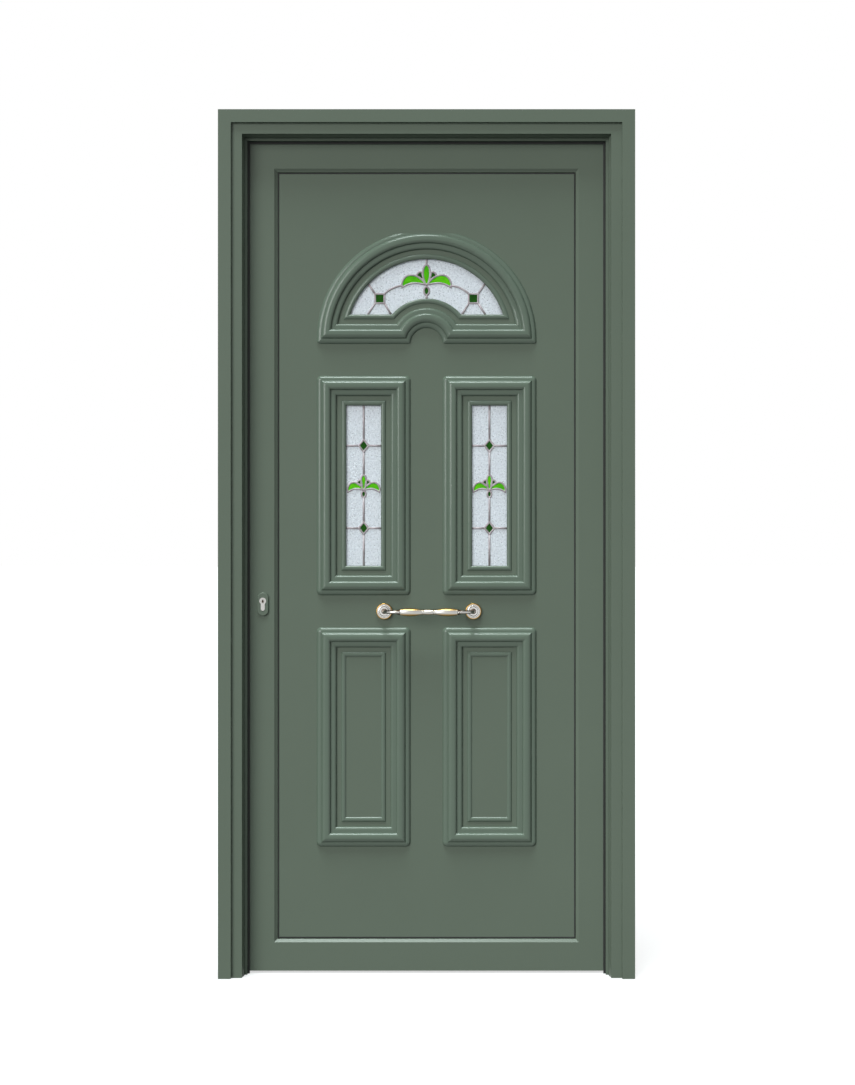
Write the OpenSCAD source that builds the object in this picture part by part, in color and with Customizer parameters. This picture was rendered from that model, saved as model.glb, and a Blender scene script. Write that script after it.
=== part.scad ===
// Panelled entrance door set: painted aluminium frame and leaf, moulded panel,
// leaded fanlight and side lights, pull handle outside and lever inside.
// +X runs to the hinge side, +Y to the inside, +Z up. The floor is at Z = 0,
// and Y = 0 is the middle of the leaf's thickness.

/* [Door set] */
// Width over the outer trim
overall_w = 1042; // [960:1:1150]
// Height from the floor to the top of the outer trim
overall_h = 2172; // [2120:1:2350]
// Depth from the front of the trim to the outside face of the leaf
recess = 50; // [48:1:70]
// Thickness of the leaf
leaf_t = 60; // [56:1:64]
// Gap between the leaf's edge and the frame's rebate, at both sides and the top
leaf_gap = 4.5; // [3.5:0.5:6]
// Gap between the leaf and the floor
floor_gap = 6; // [5:0.5:12]

/* [Frame extrusion] */
// Width of the clip-on trim
trim_w = 32; // [26:1:38]
// How far the trim stands in front of the frame
trim_t = 8; // [6:0.5:10]
// Wall of the trim
trim_wall = 1.6; // [1.2:0.2:2.4]
// How far the trim reaches past the frame, over the wall's edge
trim_cover = 12; // [6:1:14]
// Distance from the trim's outer edge to the rebate that the leaf's edge faces
frame_rebate = 59; // [57:1:62]
// Wall of the frame extrusion
frame_wall = 2; // [1.6:0.2:2.4]
// Radius of the quarter-round moulding on the frame's inner edge
round_r = 24; // [22:1:26]
// How far the moulding's front face starts from the trim's outer edge
round_start = 46; // [44:1:47]
// How far the stop lip reaches past the rebate
lip_reach = 10; // [8:0.5:12]
// Thickness of the stop lip
lip_t = 7; // [5:0.5:8]
// Space between the stop lip and the leaf, where the seal sits
seal_space = 8; // [7:0.5:10]
// How far the seal shows past the stop lip
seal_show = 5; // [3:0.5:6]
// Width of the hardware groove in frame and leaf
groove_w = 24; // [20:1:26]
// Depth of the hardware groove
groove_d = 3; // [2.5:0.5:4]

/* [Leaf extrusion] */
// Width of the leaf's tube, behind its flange
tube_w = 66; // [62:1:68]
// Width of the leaf's flat face, up to the sloped edge
face_w = 72; // [70:1:74]
// Width of the sloped edge towards the panel
slope_w = 7.5; // [5:0.5:9]
// Depth of the leaf's flange at the panel
flange_t = 7.5; // [6:0.5:8]
// Wall of the leaf extrusion
leaf_wall = 2; // [1.6:0.2:2.4]
// Thickness of the two webs that divide the chamber
web_t = 2; // [1.5:0.5:3]
// Thickness of the rubber between flange, panel and bead
gasket_t = 2.5; // [2:0.5:4]
// Gap between the panel's edge and the tube
panel_edge_gap = 3; // [2:0.5:4]

/* [Panel] */
// Thickness of the panel between its two faces
panel_t = 36; // [32:1:38]
// Thickness of each aluminium skin
skin_t = 1.5; // [1.2:0.1:2]
// Width of each small moulding
moulding_w = 238.5; // [220:0.5:260]
// Height of each upper moulding
upper_h = 557; // [480:1:560]
// Gap between neighbouring mouldings, also between the two columns
moulding_gap = 81; // [76:0.5:90]
// Height of the lowest moulding above the panel's sight line
bottom_margin = 240; // [200:1:250]
// Distance from the top of the fanlight's moulding up to the panel's sight line
top_margin = 151.5; // [120:0.5:180]

/* [Mouldings] */
// Radius of the mouldings' outer corners
corner_r = 12; // [10.5:0.5:13]
// Width of the first rounded step, from the outer edge
step_w = 10.5; // [9:0.5:11.5]
// Height of the first rounded step
step_h = 7.5; // [5:0.5:8]
// Width of the flat between the two rounded steps
step_flat = 2; // [1:0.5:5]
// Width of the second rounded step
crown_w = 11.5; // [10:0.5:13]
// Height of the moulding at its crown
crown_h = 15.5; // [13:0.5:16]
// Width of the flat on the crown
crown_flat = 4; // [2:0.5:7]
// Width of the fall from the crown to the ledge
fall_w = 8.5; // [8:0.5:11]
// Height of the ledge half-way down the fall
ledge_h = 7.5; // [6:0.5:8]
// Width of the ledge
ledge_w = 7; // [4:0.5:8]
// Width of the fall from the ledge to the inner flat
inner_fall_w = 7.5; // [7.5:0.5:10]
// Width of the inner flat
inner_flat = 11.5; // [7:0.5:14]
// Half width of the round bead along the inner edge
bead_w = 6.25; // [4.5:0.25:8]
// Height of the round bead
bead_h = 3.5; // [2:0.25:4]

/* [Fanlight and glass] */
// Radius of the half-round notch under the fanlight
notch_r = 40.5; // [35:0.5:50]
// Depth of the glass behind the panel's face
glass_set = 5; // [4:0.5:7]
// Thickness of each pane
pane_t = 4; // [3:0.5:6]
// How far the glass reaches behind the bead
glass_lap = 10; // [8:0.5:12]
// Clearance between the glass unit and its pocket
glass_gap = 0.8; // [0.5:0.1:1]
// Width of the spacer bar between the panes
spacer_w = 6; // [5:0.5:7]
// Width of the lead cames
came_w = 4.6; // [3.5:0.1:6]
// How far the cames stand out of the pane
came_h = 2; // [1.5:0.1:3]
// Thickness of the coloured glass pieces
tint_t = 1.2; // [0.8:0.1:1.4]
// Width of the fanlight's square pieces
square_w = 19; // [14:1:24]
// Distance of the square pieces from the middle
square_x = 119; // [105:1:130]
// Half width of the side lights' diamonds
diamond_w = 9; // [6:0.5:12]
// Half height of the side lights' diamonds
diamond_h = 12; // [8:0.5:16]
// Distance of the upper diamond above the side light's middle
upper_diamond = 101.5; // [90:0.5:120]
// Distance of the lower diamond below the side light's middle
lower_diamond = 108; // [90:0.5:125]
// Distance of the leaves' joint below the side light's middle
side_leaf_drop = 10; // [0:1:20]
// Height of the leaves' joint above the fanlight's base
fan_leaf_rise = 151.5; // [148:0.5:155]

/* [Lock and lever] */
// Distance from the leaf's edge to the cylinder
backset = 43.5; // [42:0.5:45]
// Height of the cylinder's plug above the floor
plug_z = 942; // [900:1:1000]
// Distance from the plug up to the lever's spindle
lever_rise = 85; // [82:1:92]
// Radius of the cylinder's round head
head_r = 8.5; // [8:0.1:8.8]
// Width of the cylinder's tail
tail_w = 10; // [8:0.5:11]
// Height of the cylinder from the bottom of its tail to the top of its head
cylinder_h = 33; // [31:0.5:34]
// How far the cylinder stands out of each face of the leaf
cylinder_out = 6; // [4:0.5:9]
// Radius of the rotating plug
plug_r = 6.45; // [6:0.05:7]
// Running clearance of plug, pins and spindle in their bores
run_gap = 0.05; // [0.03:0.01:0.09]
// Length of the cam from the plug's axis
cam_l = 15; // [13:0.5:15.5]
// Width of the cam
cam_w = 9.5; // [8:0.5:10]
// Width of the oval escutcheon
plate_w = 28.5; // [26:0.5:32]
// Height of the oval escutcheon
plate_h = 60; // [56:1:70]
// Thickness of the oval escutcheon
plate_t = 5; // [4:0.5:6]
// Thickness of the lock case
case_t = 20; // [18:0.5:21]
// Height of the lock case
case_h = 190; // [186:1:200]
// Wall of the lock case
case_wall = 1.5; // [1:0.25:2]
// Thickness of both bolts
bolt_t = 14; // [12:0.5:15]
// Height of the latch bolt
latch_h = 28; // [24:1:30]
// How far the latch stands out of the leaf
latch_out = 12; // [10:0.5:14]
// Height of the dead bolt
dead_h = 32; // [28:1:34]
// Travel of the dead bolt
dead_throw = 20; // [16:0.5:22]
// Clearance around bolts and in the strike
bolt_gap = 0.4; // [0.3:0.1:0.8]
// Radius of the lever's grip
lever_r = 9; // [8:0.5:10]
// Length of the lever from its spindle
lever_l = 118; // [100:1:130]
// Width of the square spindle
spindle_w = 8; // [7:0.5:9]

/* [Pull handle] */
// Distance between the two rosettes' centres
pull_span = 226; // [200:1:260]
// Distance of the handle's middle from the door's middle
pull_shift = 5.5; // [-10:0.5:10]
// Distance from the panel's face to the handle's axis
pull_reach = 52; // [48:1:60]
// Radius of the rosettes
rosette_r = 20.5; // [18:0.5:24]
// Thickness of the rosettes
rosette_t = 8; // [6:0.5:10]
// Radius of the arms
arm_r = 4.4; // [4:0.1:5]
// Bend radius of the arms
arm_bend = 32; // [26:1:36]
// Largest radius of the grips
grip_r = 10; // [8:0.5:11]
// Radius of the grips at their outer ends
grip_end_r = 7.6; // [6:0.2:8]
// Radius of the grips at their inner ends
grip_neck_r = 6; // [5:0.2:7]
// Length of each grip
grip_l = 55; // [50:1:58]
// Length of the piece between the grips
knob_l = 33; // [30:1:38]
// Radius of the bolts that hold the handle through the panel
stud_r = 4; // [3:0.5:5]

/* [Hinges and fixings] */
// Radius of the hinge barrels
barrel_r = 8; // [7:0.5:9]
// Height of the hinge barrels
barrel_h = 100; // [80:1:120]
// Radius of the hinge pins
pin_r = 4; // [3.5:0.25:5]
// Distance of the outer hinges from the leaf's ends
hinge_inset = 230; // [150:5:300]
// Width of each hinge wing
wing_w = 30; // [26:1:32]
// Thickness of the hinge wings
wing_t = 3; // [2.5:0.5:4]
// Radius of the screws' shanks
screw_r = 2.2; // [1.8:0.1:2.6]
// Radius of the screws' heads
screw_head_r = 4.2; // [3.8:0.1:5]
// Radius of the holes that fix the frame in the wall
fixing_r = 5; // [4:0.5:6]
// Height of the lowest fixing holes
fixing_low = 180; // [120:5:250]
// Distance of the highest fixing holes from the top
fixing_top = 182; // [120:2:250]
// Length of the corner cleats' arms
cleat_l = 70; // [50:1:90]
// Clearance of the cleats in their chambers
cleat_gap = 0.3; // [0.2:0.1:0.5]

/* [Hidden] */

paint = [0.38, 0.43, 0.38];
rubber = [0.10, 0.11, 0.10];
steel = [0.72, 0.73, 0.75];
brass = [0.76, 0.62, 0.34];
foam = [0.86, 0.80, 0.62];
glass = [0.80, 0.84, 0.88, 0.5];
lead = [0.45, 0.42, 0.44];
leaf_green = [0.30, 0.75, 0.05];
bud_green = [0.08, 0.30, 0.02];

// Roundness of bores and of hulls' and outlines' children
round_fn = 48;
fine_fn = 96;
// Overshoot of cuts past the face they open
cut = 1;
// Longer than any piece, for cutting prisms
far = 3000;
// Clearance between two bodies at rest, and of loose fits
clear = 0.3;
fit = 0.1;

// Levels across the leaf's thickness
outer_face = -leaf_t / 2;
inner_face = leaf_t / 2;
trim_front = outer_face - recess;
frame_front = trim_front + trim_t;
lip_back = outer_face - seal_space;
lip_front = lip_back - lip_t;

// Centre of the quarter-round moulding, which leaves the frame's front at a slope
round_angle = 18;
round_cx = round_start - round_r * sin(round_angle);
round_cy = frame_front + round_r * cos(round_angle);
frame_reach = frame_rebate + lip_reach + cut;

// Levels of the leaf's flange and of the panel in it
flange_back = outer_face + flange_t;
panel_outer = flange_back + gasket_t;
panel_inner = panel_outer + panel_t;
bead_front = panel_inner + gasket_t;

// Leaf's outline
leaf_half = overall_w / 2 - frame_rebate - leaf_gap;
leaf_low = floor_gap;
leaf_top = overall_h - frame_rebate - leaf_gap;
leaf_height = leaf_top - leaf_low;
sight_w = face_w + slope_w;
flange_lip = 1.5;

// Panel's outline and layout
panel_inset = tube_w + panel_edge_gap;
panel_half = leaf_half - panel_inset;
panel_low = leaf_low + panel_inset;
panel_high = leaf_top - panel_inset;
column_x = (moulding_w + moulding_gap) / 2;
fan_r = column_x + moulding_w / 2;
fan_z = leaf_top - face_w - top_margin - fan_r - corner_r;
upper_z = fan_z - moulding_gap - upper_h;
lower_z = leaf_low + face_w + bottom_margin;
lower_h = upper_z - moulding_gap - lower_z;

// The fanlight's corners: the arch runs on past its ends by arch_over degrees, and the
// rounding circles reach corner_over past the edges, so that they cut them cleanly
arch_over = 20;
corner_over = 0.3;
fan_corner_r = corner_r + corner_over;
notch_corner = [-sqrt(pow(notch_r + corner_r, 2) - pow(corner_r, 2)), corner_r];

// Distances of the moulding's steps from its outer edge
crown_start = step_w + step_flat;
crown_end = crown_start + crown_w + crown_flat;
ledge_start = crown_end + fall_w;
ledge_end = ledge_start + ledge_w;
flat_start = ledge_end + inner_fall_w;
bead_start = flat_start + inner_flat;
bead_crest = bead_start + bead_w;
band_w = bead_crest + bead_w;
glass_w = band_w - glass_lap;

// Glass units
glass_outer = panel_outer + glass_set;
glass_inner = panel_inner - glass_set;
spacer_depth = glass_inner - glass_outer - 2 * pane_t;
side_light_w = moulding_w - 2 * band_w;
side_light_h = upper_h - 2 * band_w;
side_middle = upper_z + upper_h / 2;
side_leaf_z = side_middle - side_leaf_drop;
side_leaf_scale = [0.64, 0.72];
fan_leaf_z = fan_z + fan_leaf_rise;
square_rise = 116;
leaf_tip = 48;
bud_foot = 24;
square_z = fan_z + square_rise;

// Lock
lock_x = -leaf_half + backset;
lever_z = plug_z + lever_rise;
case_low = plug_z - 39;
case_front = groove_d + leaf_wall + fit;
case_back = tube_w - leaf_wall - fit;
tail_low = cylinder_h - head_r;
dead_z = plug_z + 39;
latch_z = lever_z + 34;
bolt_l = 42;
strike_low = plug_z - 42;
strike_l = 200;
strike_margin = 1.5;
cylinder_half = leaf_t / 2 + cylinder_out;
cam_gap = 0.4;

// Hinges
hinge_x = overall_w / 2 - frame_rebate - leaf_gap / 2;
hinge_y = inner_face + barrel_r + 1;
hinge_zs = [leaf_low + hinge_inset, (leaf_low + leaf_top) / 2, leaf_top - hinge_inset];
knuckle_gap = 0.5;
wing_gap = 1.5;
screw_l = 12;
screw_head_t = 1.6;

// Frame fixings and pull handle
fixing_span = overall_h - fixing_low - fixing_top;
fixing_zs = [
    fixing_low,
    fixing_low + fixing_span / 3,
    fixing_low + 2 * fixing_span / 3,
    overall_h - fixing_top,
];
pull_z = lower_z + lower_h + moulding_gap / 2;
pull_y = panel_outer - pull_reach;
collar_l = 9;
collar_r = 7.2;

// The upright plane: a flat outline drawn in X and Z, as thick as depth, from y0 inwards
module upright(y0, depth) {
    translate([0, y0 + depth, 0]) rotate([90, 0, 0]) linear_extrude(depth) children();
}

// One extruded run of a section drawn in distance-from-edge and Y, mitred at its ends
module run(length, reach, low, high) {
    intersection() {
        linear_extrude(length) children();
        upright(-far / 2, far)
            polygon([
                [-cut, -cut * low], [reach, reach * low],
                [reach, length - reach * high], [-cut, length + cut * high],
            ]);
    }
}

// Places a run as the lock-side upright, and its mirrored twin on the hinge side
module on_left(half, low) {
    translate([-half, 0, low]) children();
}

module on_right(half, low) {
    mirror([1, 0, 0]) translate([-half, 0, low]) children();
}

module on_top(half, top) {
    translate([-half, 0, top]) rotate([0, 90, 0]) children();
}

module on_bottom(half, low) {
    mirror([0, 0, 1]) translate([-half, 0, -low]) rotate([0, 90, 0]) children();
}

// Frame extrusion

module frame_outline() {
    difference() {
        union() {
            translate([trim_cover, frame_front])
                square([frame_rebate - trim_cover, inner_face - frame_front]);
            intersection() {
                translate([round_cx, round_cy]) circle(round_r, $fn = fine_fn);
                translate([round_cx, frame_front]) square([round_r + cut, round_cy - frame_front]);
            }
            translate([round_cx, round_cy]) square([round_r, lip_back - round_cy]);
            translate([round_cx, lip_front])
                square([frame_rebate + lip_reach - round_cx, lip_t]);
        }
        groove_cut(frame_rebate);
    }
}

// The hardware groove in the edge at distance e, half of it outside the section
module groove_cut(e) {
    translate([e - groove_d, -groove_w / 2]) square([groove_d + cut, groove_w]);
}

module frame_chambers() {
    difference() {
        offset(delta = -frame_wall) frame_outline();
        translate([0, lip_back - web_t]) square([frame_reach, web_t]);
        translate([0, groove_w / 2]) square([frame_reach, web_t]);
    }
}

module frame_section() {
    difference() {
        frame_outline();
        frame_chambers();
    }
}

module trim_section() {
    difference() {
        translate([0, trim_front]) square([trim_w, trim_t]);
        translate([trim_wall, trim_front + trim_wall])
            square([trim_w - 2 * trim_wall, trim_t]);
    }
}

module frame_upright() {
    run(overall_h, frame_reach, 0, 1) frame_section();
}

// Holes for the wall anchors, through the jamb at the middle of its groove
module fixing_holes() {
    for (z = fixing_zs)
        translate([0, 0, z]) rotate([0, 90, 0]) cylinder(h = frame_reach, r = fixing_r, $fn = round_fn);
}

module frame_head() {
    color(paint)
        on_top(overall_w / 2, overall_h) run(overall_w, frame_reach, 1, 1) frame_section();
}

module frame_jamb_lock() {
    color(paint) difference() {
        on_left(overall_w / 2, 0) frame_upright();
        on_left(overall_w / 2, 0) fixing_holes();
        strike_openings(frame_rebate - groove_d - frame_wall - cut, frame_rebate);
        screw_cuts(strike_screw_places(), -1);
    }
}

module frame_jamb_hinge() {
    color(paint) difference() {
        on_right(overall_w / 2, 0) frame_upright();
        on_right(overall_w / 2, 0) fixing_holes();
        for (p = wing_screw_places(1)) inward_screw_cut(p);
    }
}

module trim_head() {
    color(paint) on_top(overall_w / 2, overall_h) run(overall_w, trim_w + cut, 1, 1) trim_section();
}

module trim_lock_side() {
    color(paint) on_left(overall_w / 2, 0) run(overall_h, trim_w + cut, 0, 1) trim_section();
}

module trim_hinge_side() {
    color(paint) on_right(overall_w / 2, 0) run(overall_h, trim_w + cut, 0, 1) trim_section();
}

// An L-shaped cleat with its corner at a frame corner, filling a box-shaped chamber
module cleat(near, far_side, y0, y1) {
    upright(y0, y1 - y0)
        polygon([
            [near, -near], [near + cleat_l, -near], [near + cleat_l, -far_side],
            [far_side, -far_side], [far_side, -near - cleat_l], [near, -near - cleat_l],
        ]);
}

module frame_corner_cleats() {
    near = trim_cover + frame_wall + cleat_gap;
    color(steel)
        for (m = [0, 1]) mirror([m, 0, 0]) translate([-overall_w / 2, 0, overall_h]) {
            cleat(near, round_cx, frame_front + frame_wall + cleat_gap, lip_back - web_t - cleat_gap);
            cleat(near, frame_rebate - frame_wall - cleat_gap,
                groove_w / 2 + web_t + cleat_gap, inner_face - frame_wall - cleat_gap);
        }
}

// Stop seal: a foot on the lip's back and a soft nose that shows past the lip
module seal_section() {
    nose_r = (seal_space - clear) / 4;
    tip = frame_rebate + lip_reach + seal_show - nose_r;
    translate([frame_rebate + 1, lip_back]) square([lip_reach - 2, nose_r]);
    translate([frame_rebate + 2, lip_back + nose_r])
        square([lip_reach - 4, seal_space - clear - nose_r]);
    translate([frame_rebate + 2, outer_face - clear - 2 * nose_r])
        square([tip - frame_rebate - 2, 2 * nose_r]);
    translate([tip, outer_face - clear - nose_r]) circle(nose_r, $fn = round_fn);
}

module frame_seal() {
    reach = frame_rebate + lip_reach + seal_show + cut;
    color(rubber) {
        on_left(overall_w / 2, 0) run(overall_h, reach, 0, 1) seal_section();
        on_right(overall_w / 2, 0) run(overall_h, reach, 0, 1) seal_section();
        on_top(overall_w / 2, overall_h) run(overall_w, reach, 1, 1) seal_section();
    }
}

// Latch and dead bolt openings between two distances from the frame's outer edge
module strike_openings(from, to) {
    side = bolt_t + 2 * strike_margin;
    for (b = [[latch_z, latch_h], [dead_z, dead_h]])
        translate([-overall_w / 2 + from, -side / 2, b[0] - b[1] / 2 - strike_margin])
            cube([to - from + cut, side, b[1] + 2 * strike_margin]);
}

module strike_plate() {
    color(steel) difference() {
        translate([-overall_w / 2 + frame_rebate - groove_d, -groove_w / 2 + fit, strike_low])
            cube([groove_d, groove_w - 2 * fit, strike_l]);
        strike_openings(frame_rebate - groove_d - cut, frame_rebate);
        screw_cuts(strike_screw_places(), -1);
    }
}

// Strike screws: points on the plate's face, at both ends of the plate
function strike_screw_places() = [
    for (z = [strike_low + 12, strike_low + strike_l - 12])
        [-overall_w / 2 + frame_rebate, 0, z]
];

function forend_screw_places() = [
    for (z = [case_low - 8, case_low + case_h + 8]) [-leaf_half, 0, z]
];

// A flush screw along X, with its head at p and its shank towards side
module edge_screw(p, side, gap) {
    translate(p) rotate([0, 90 * side, 0]) {
        translate([0, 0, -cut * sign(gap)])
            cylinder(h = screw_head_t + gap + cut * sign(gap), r = screw_head_r + gap, $fn = round_fn);
        cylinder(h = screw_l + gap, r = screw_r + gap, $fn = round_fn);
    }
}

module screw_cuts(places, side) {
    for (p = places) edge_screw(p, side, fit);
}

module strike_screws() {
    color(steel) for (p = strike_screw_places()) edge_screw(p, -1, 0);
}

// Hinges: the frame's wing holds the lower half of the barrel, the leaf's wing the upper half

function wing_screw_places(side) = [
    for (h = hinge_zs) for (dz = [-0.34, 0, 0.34])
        [hinge_x + side * (barrel_r + wing_gap + wing_w * 0.55), inner_face + wing_t, h + dz * barrel_h]
];

// A screw along Y, with its head flush in the wing at p and its shank towards the outside
module wing_screw(p, gap) {
    translate(p) rotate([90, 0, 0]) {
        translate([0, 0, -cut * sign(gap)])
            cylinder(h = screw_head_t + gap + cut * sign(gap), r = screw_head_r + gap, $fn = round_fn);
        cylinder(h = screw_l + gap, r = screw_r + gap, $fn = round_fn);
    }
}

module inward_screw_cut(p) {
    wing_screw(p, fit);
}

// One half of a hinge: wing, web to the barrel and half the barrel
module half_hinge(side) {
    z0 = side > 0 ? -barrel_h / 2 : knuckle_gap / 2;
    half_h = (barrel_h - knuckle_gap) / 2;
    difference() {
        union() {
            translate([
                side > 0 ? barrel_r + wing_gap : -barrel_r - wing_gap - wing_w,
                -barrel_r - 1,
                -barrel_h / 2
            ]) cube([wing_w, wing_t, barrel_h]);
            translate([side > 0 ? 0 : -barrel_r - wing_gap - cut, -barrel_r, z0])
                cube([barrel_r + wing_gap + cut, wing_t - 1, half_h]);
            translate([0, 0, z0]) cylinder(h = half_h, r = barrel_r, $fn = round_fn);
        }
        translate([0, 0, -barrel_h])
            cylinder(h = 2 * barrel_h, r = side > 0 ? pin_r : pin_r + run_gap, $fn = round_fn);
    }
}

module hinge_frame_wings() {
    color(paint) difference() {
        for (h = hinge_zs) translate([hinge_x, hinge_y, h]) half_hinge(1);
        for (p = wing_screw_places(1)) wing_screw(p, fit);
    }
}

module hinge_leaf_wings() {
    color(paint) difference() {
        for (h = hinge_zs) translate([hinge_x, hinge_y, h]) half_hinge(-1);
        for (p = wing_screw_places(-1)) wing_screw(p, fit);
    }
}

module hinge_pins() {
    color(steel)
        for (h = hinge_zs) translate([hinge_x, hinge_y, h - barrel_h / 2])
            cylinder(h = barrel_h, r = pin_r, $fn = round_fn);
}

module hinge_frame_screws() {
    color(steel) for (p = wing_screw_places(1)) wing_screw(p, 0);
}

module leaf_screws() {
    color(steel) {
        for (p = wing_screw_places(-1)) wing_screw(p, 0);
        for (p = forend_screw_places()) edge_screw(p, 1, 0);
    }
}

// Leaf extrusion

module leaf_outline() {
    difference() {
        polygon([
            [0, outer_face], [face_w, outer_face], [sight_w - 1, flange_back - flange_lip],
            [sight_w, flange_back - flange_lip], [sight_w, flange_back],
            [tube_w, flange_back], [tube_w, inner_face], [0, inner_face],
        ]);
        translate([0, 0]) mirror([1, 0]) groove_cut(0);
    }
}

module leaf_chambers() {
    difference() {
        offset(delta = -leaf_wall) leaf_outline();
        for (s = [-1, 1]) translate([0, s * groove_w / 2 - web_t / 2]) square([sight_w, web_t]);
    }
}

module leaf_section() {
    difference() {
        leaf_outline();
        leaf_chambers();
    }
}

leaf_reach = sight_w + cut;

// The cylinder's outline: round head and narrow tail, drawn about the plug's axis
module cylinder_outline(gap) {
    circle(head_r + gap, $fn = round_fn);
    translate([0, -tail_low + tail_w / 2]) circle(tail_w / 2 + gap, $fn = round_fn);
    translate([-tail_w / 2 - gap, -tail_low + tail_w / 2]) square([tail_w + 2 * gap, tail_low - tail_w / 2]);
}

module cylinder_prism(y0, y1, gap) {
    translate([lock_x, 0, plug_z]) upright(y0, y1 - y0) cylinder_outline(gap);
}

// Bore along Y at the lever's axis
module lever_bore(y0, y1, r) {
    translate([lock_x, y1, lever_z]) rotate([90, 0, 0]) cylinder(h = y1 - y0, r = r, $fn = round_fn);
}

module leaf_stile_lock() {
    color(paint) difference() {
        on_left(leaf_half, leaf_low) run(leaf_height, leaf_reach, 1, 1) leaf_section();
        translate([-leaf_half + groove_d - cut / 2, -case_t / 2 - fit, case_low - fit])
            cube([leaf_wall + cut, case_t + 2 * fit, case_h + 2 * fit]);
        cylinder_prism(outer_face - cut, inner_face + cut, fit);
        lever_bore(groove_w / 2 - web_t, inner_face + cut, lever_r + fit);
        screw_cuts(forend_screw_places(), 1);
    }
}

module leaf_stile_hinge() {
    color(paint) difference() {
        on_right(leaf_half, leaf_low) run(leaf_height, leaf_reach, 1, 1) leaf_section();
        for (p = wing_screw_places(-1)) inward_screw_cut(p);
    }
}

module leaf_rail_top() {
    color(paint) on_top(leaf_half, leaf_top) run(2 * leaf_half, leaf_reach, 1, 1) leaf_section();
}

module leaf_rail_bottom() {
    color(paint) on_bottom(leaf_half, leaf_low) run(2 * leaf_half, leaf_reach, 1, 1) leaf_section();
}

module leaf_corner_cleats() {
    near = leaf_wall + cleat_gap;
    side = tube_w - leaf_wall - cleat_gap;
    web = groove_w / 2 + max(web_t / 2, leaf_wall) + cleat_gap;
    end = leaf_t / 2 - leaf_wall - cleat_gap;
    color(steel)
        for (m = [0, 1]) mirror([m, 0, 0])
            for (corner = [[leaf_top, 0], [-leaf_low, 1]])
                mirror([0, 0, corner[1]]) translate([-leaf_half, 0, corner[0]]) {
                    cleat(near, side, -end, -web);
                    cleat(near, side, web, end);
                }
}

// Inside glazing bead, hollow, with a sloped face towards the panel
module bead_outline() {
    polygon([
        [tube_w, bead_front], [sight_w, bead_front], [sight_w, bead_front + flange_lip],
        [face_w, inner_face], [tube_w, inner_face],
    ]);
}

module bead_section() {
    difference() {
        bead_outline();
        offset(delta = -flange_lip) bead_outline();
    }
}

module glazing_bead_top() {
    color(paint) on_top(leaf_half, leaf_top) run(2 * leaf_half, leaf_reach, 1, 1) bead_section();
}

module glazing_bead_bottom() {
    color(paint) on_bottom(leaf_half, leaf_low) run(2 * leaf_half, leaf_reach, 1, 1) bead_section();
}

module glazing_bead_lock() {
    color(paint) on_left(leaf_half, leaf_low) run(leaf_height, leaf_reach, 1, 1) bead_section();
}

module glazing_bead_hinge() {
    color(paint) on_right(leaf_half, leaf_low) run(leaf_height, leaf_reach, 1, 1) bead_section();
}

// A rectangular ring about the panel, between two distances from the leaf's edge
module ring_outline(from, to) {
    difference() {
        translate([-leaf_half + from, leaf_low + from])
            square([2 * (leaf_half - from), leaf_height - 2 * from]);
        translate([-leaf_half + to, leaf_low + to])
            square([2 * (leaf_half - to), leaf_height - 2 * to]);
    }
}

module panel_gasket_outer() {
    color(rubber) upright(flange_back, gasket_t) ring_outline(panel_inset + 1, sight_w - 1);
}

module panel_gasket_inner() {
    color(rubber) upright(panel_inner, gasket_t) ring_outline(panel_inset + 1, sight_w - 1);
}

// Brush strip in the bottom rail's groove, with its bristles down to the floor
module bottom_brush() {
    base_w = groove_w - 2 * fit;
    bristle_w = 5;
    brush_half = leaf_half - groove_d - clear;
    color(rubber) {
        translate([-brush_half, -base_w / 2, leaf_low]) cube([2 * brush_half, base_w, groove_d]);
        translate([-brush_half, -bristle_w / 2, clear]) cube([2 * brush_half, bristle_w, leaf_low]);
    }
}

// Mouldings of the panel
// Each section is drawn in distance from the moulding's outer edge and height over the panel

// A rounded step: rises from nothing at 0 to height h at width w, and levels off there
module rounded_step(w, h) {
    r = (w * w + h * h) / (2 * h);
    intersection() {
        translate([w, h - r]) circle(r, $fn = fine_fn);
        square([w, h]);
    }
}

// The whole section over the panel's face
module moulding_section() {
    rounded_step(step_w, step_h);
    translate([step_w, 0]) square([crown_end - step_w, step_h]);
    translate([crown_start, step_h]) rounded_step(crown_w, crown_h - step_h);
    translate([crown_start + crown_w, step_h]) square([crown_flat, crown_h - step_h]);
    translate([crown_end, 0]) square([fall_w + ledge_w, ledge_h]);
    translate([ledge_start, ledge_h]) mirror([1, 0]) rounded_step(fall_w, crown_h - ledge_h);
    translate([flat_start, 0]) mirror([1, 0]) rounded_step(inner_fall_w, ledge_h);
    translate([bead_start, 0]) rounded_step(bead_w, bead_h);
    translate([band_w, 0]) mirror([1, 0]) rounded_step(bead_w, bead_h);
}

// One mitred run of a moulding, whose first corner_r keeps clear of the rounded corner
module moulding_run(length) {
    intersection() {
        linear_extrude(length) moulding_section();
        upright(-far / 2, far)
            polygon([
                [-cut, corner_r], [corner_r, corner_r], [band_w + cut, band_w + cut],
                [band_w + cut, length - band_w - cut], [corner_r, length - corner_r],
                [-cut, length - corner_r],
            ]);
    }
}

// A revolved stretch of a section about the upright plane's normal, from angle a0 to a1
module sweep(a0, a1) {
    rotate([-90, 0, 0]) rotate([0, 0, -a1]) rotate_extrude(angle = a1 - a0, $fn = fine_fn) children();
}

// The rounded corner of a moulding: the section's first corner_r turned about its centre
module corner_turn() {
    sweep(180, 270) intersection() {
        translate([corner_r, 0]) mirror([1, 0]) moulding_section();
        square([corner_r, crown_h]);
    }
}

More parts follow.
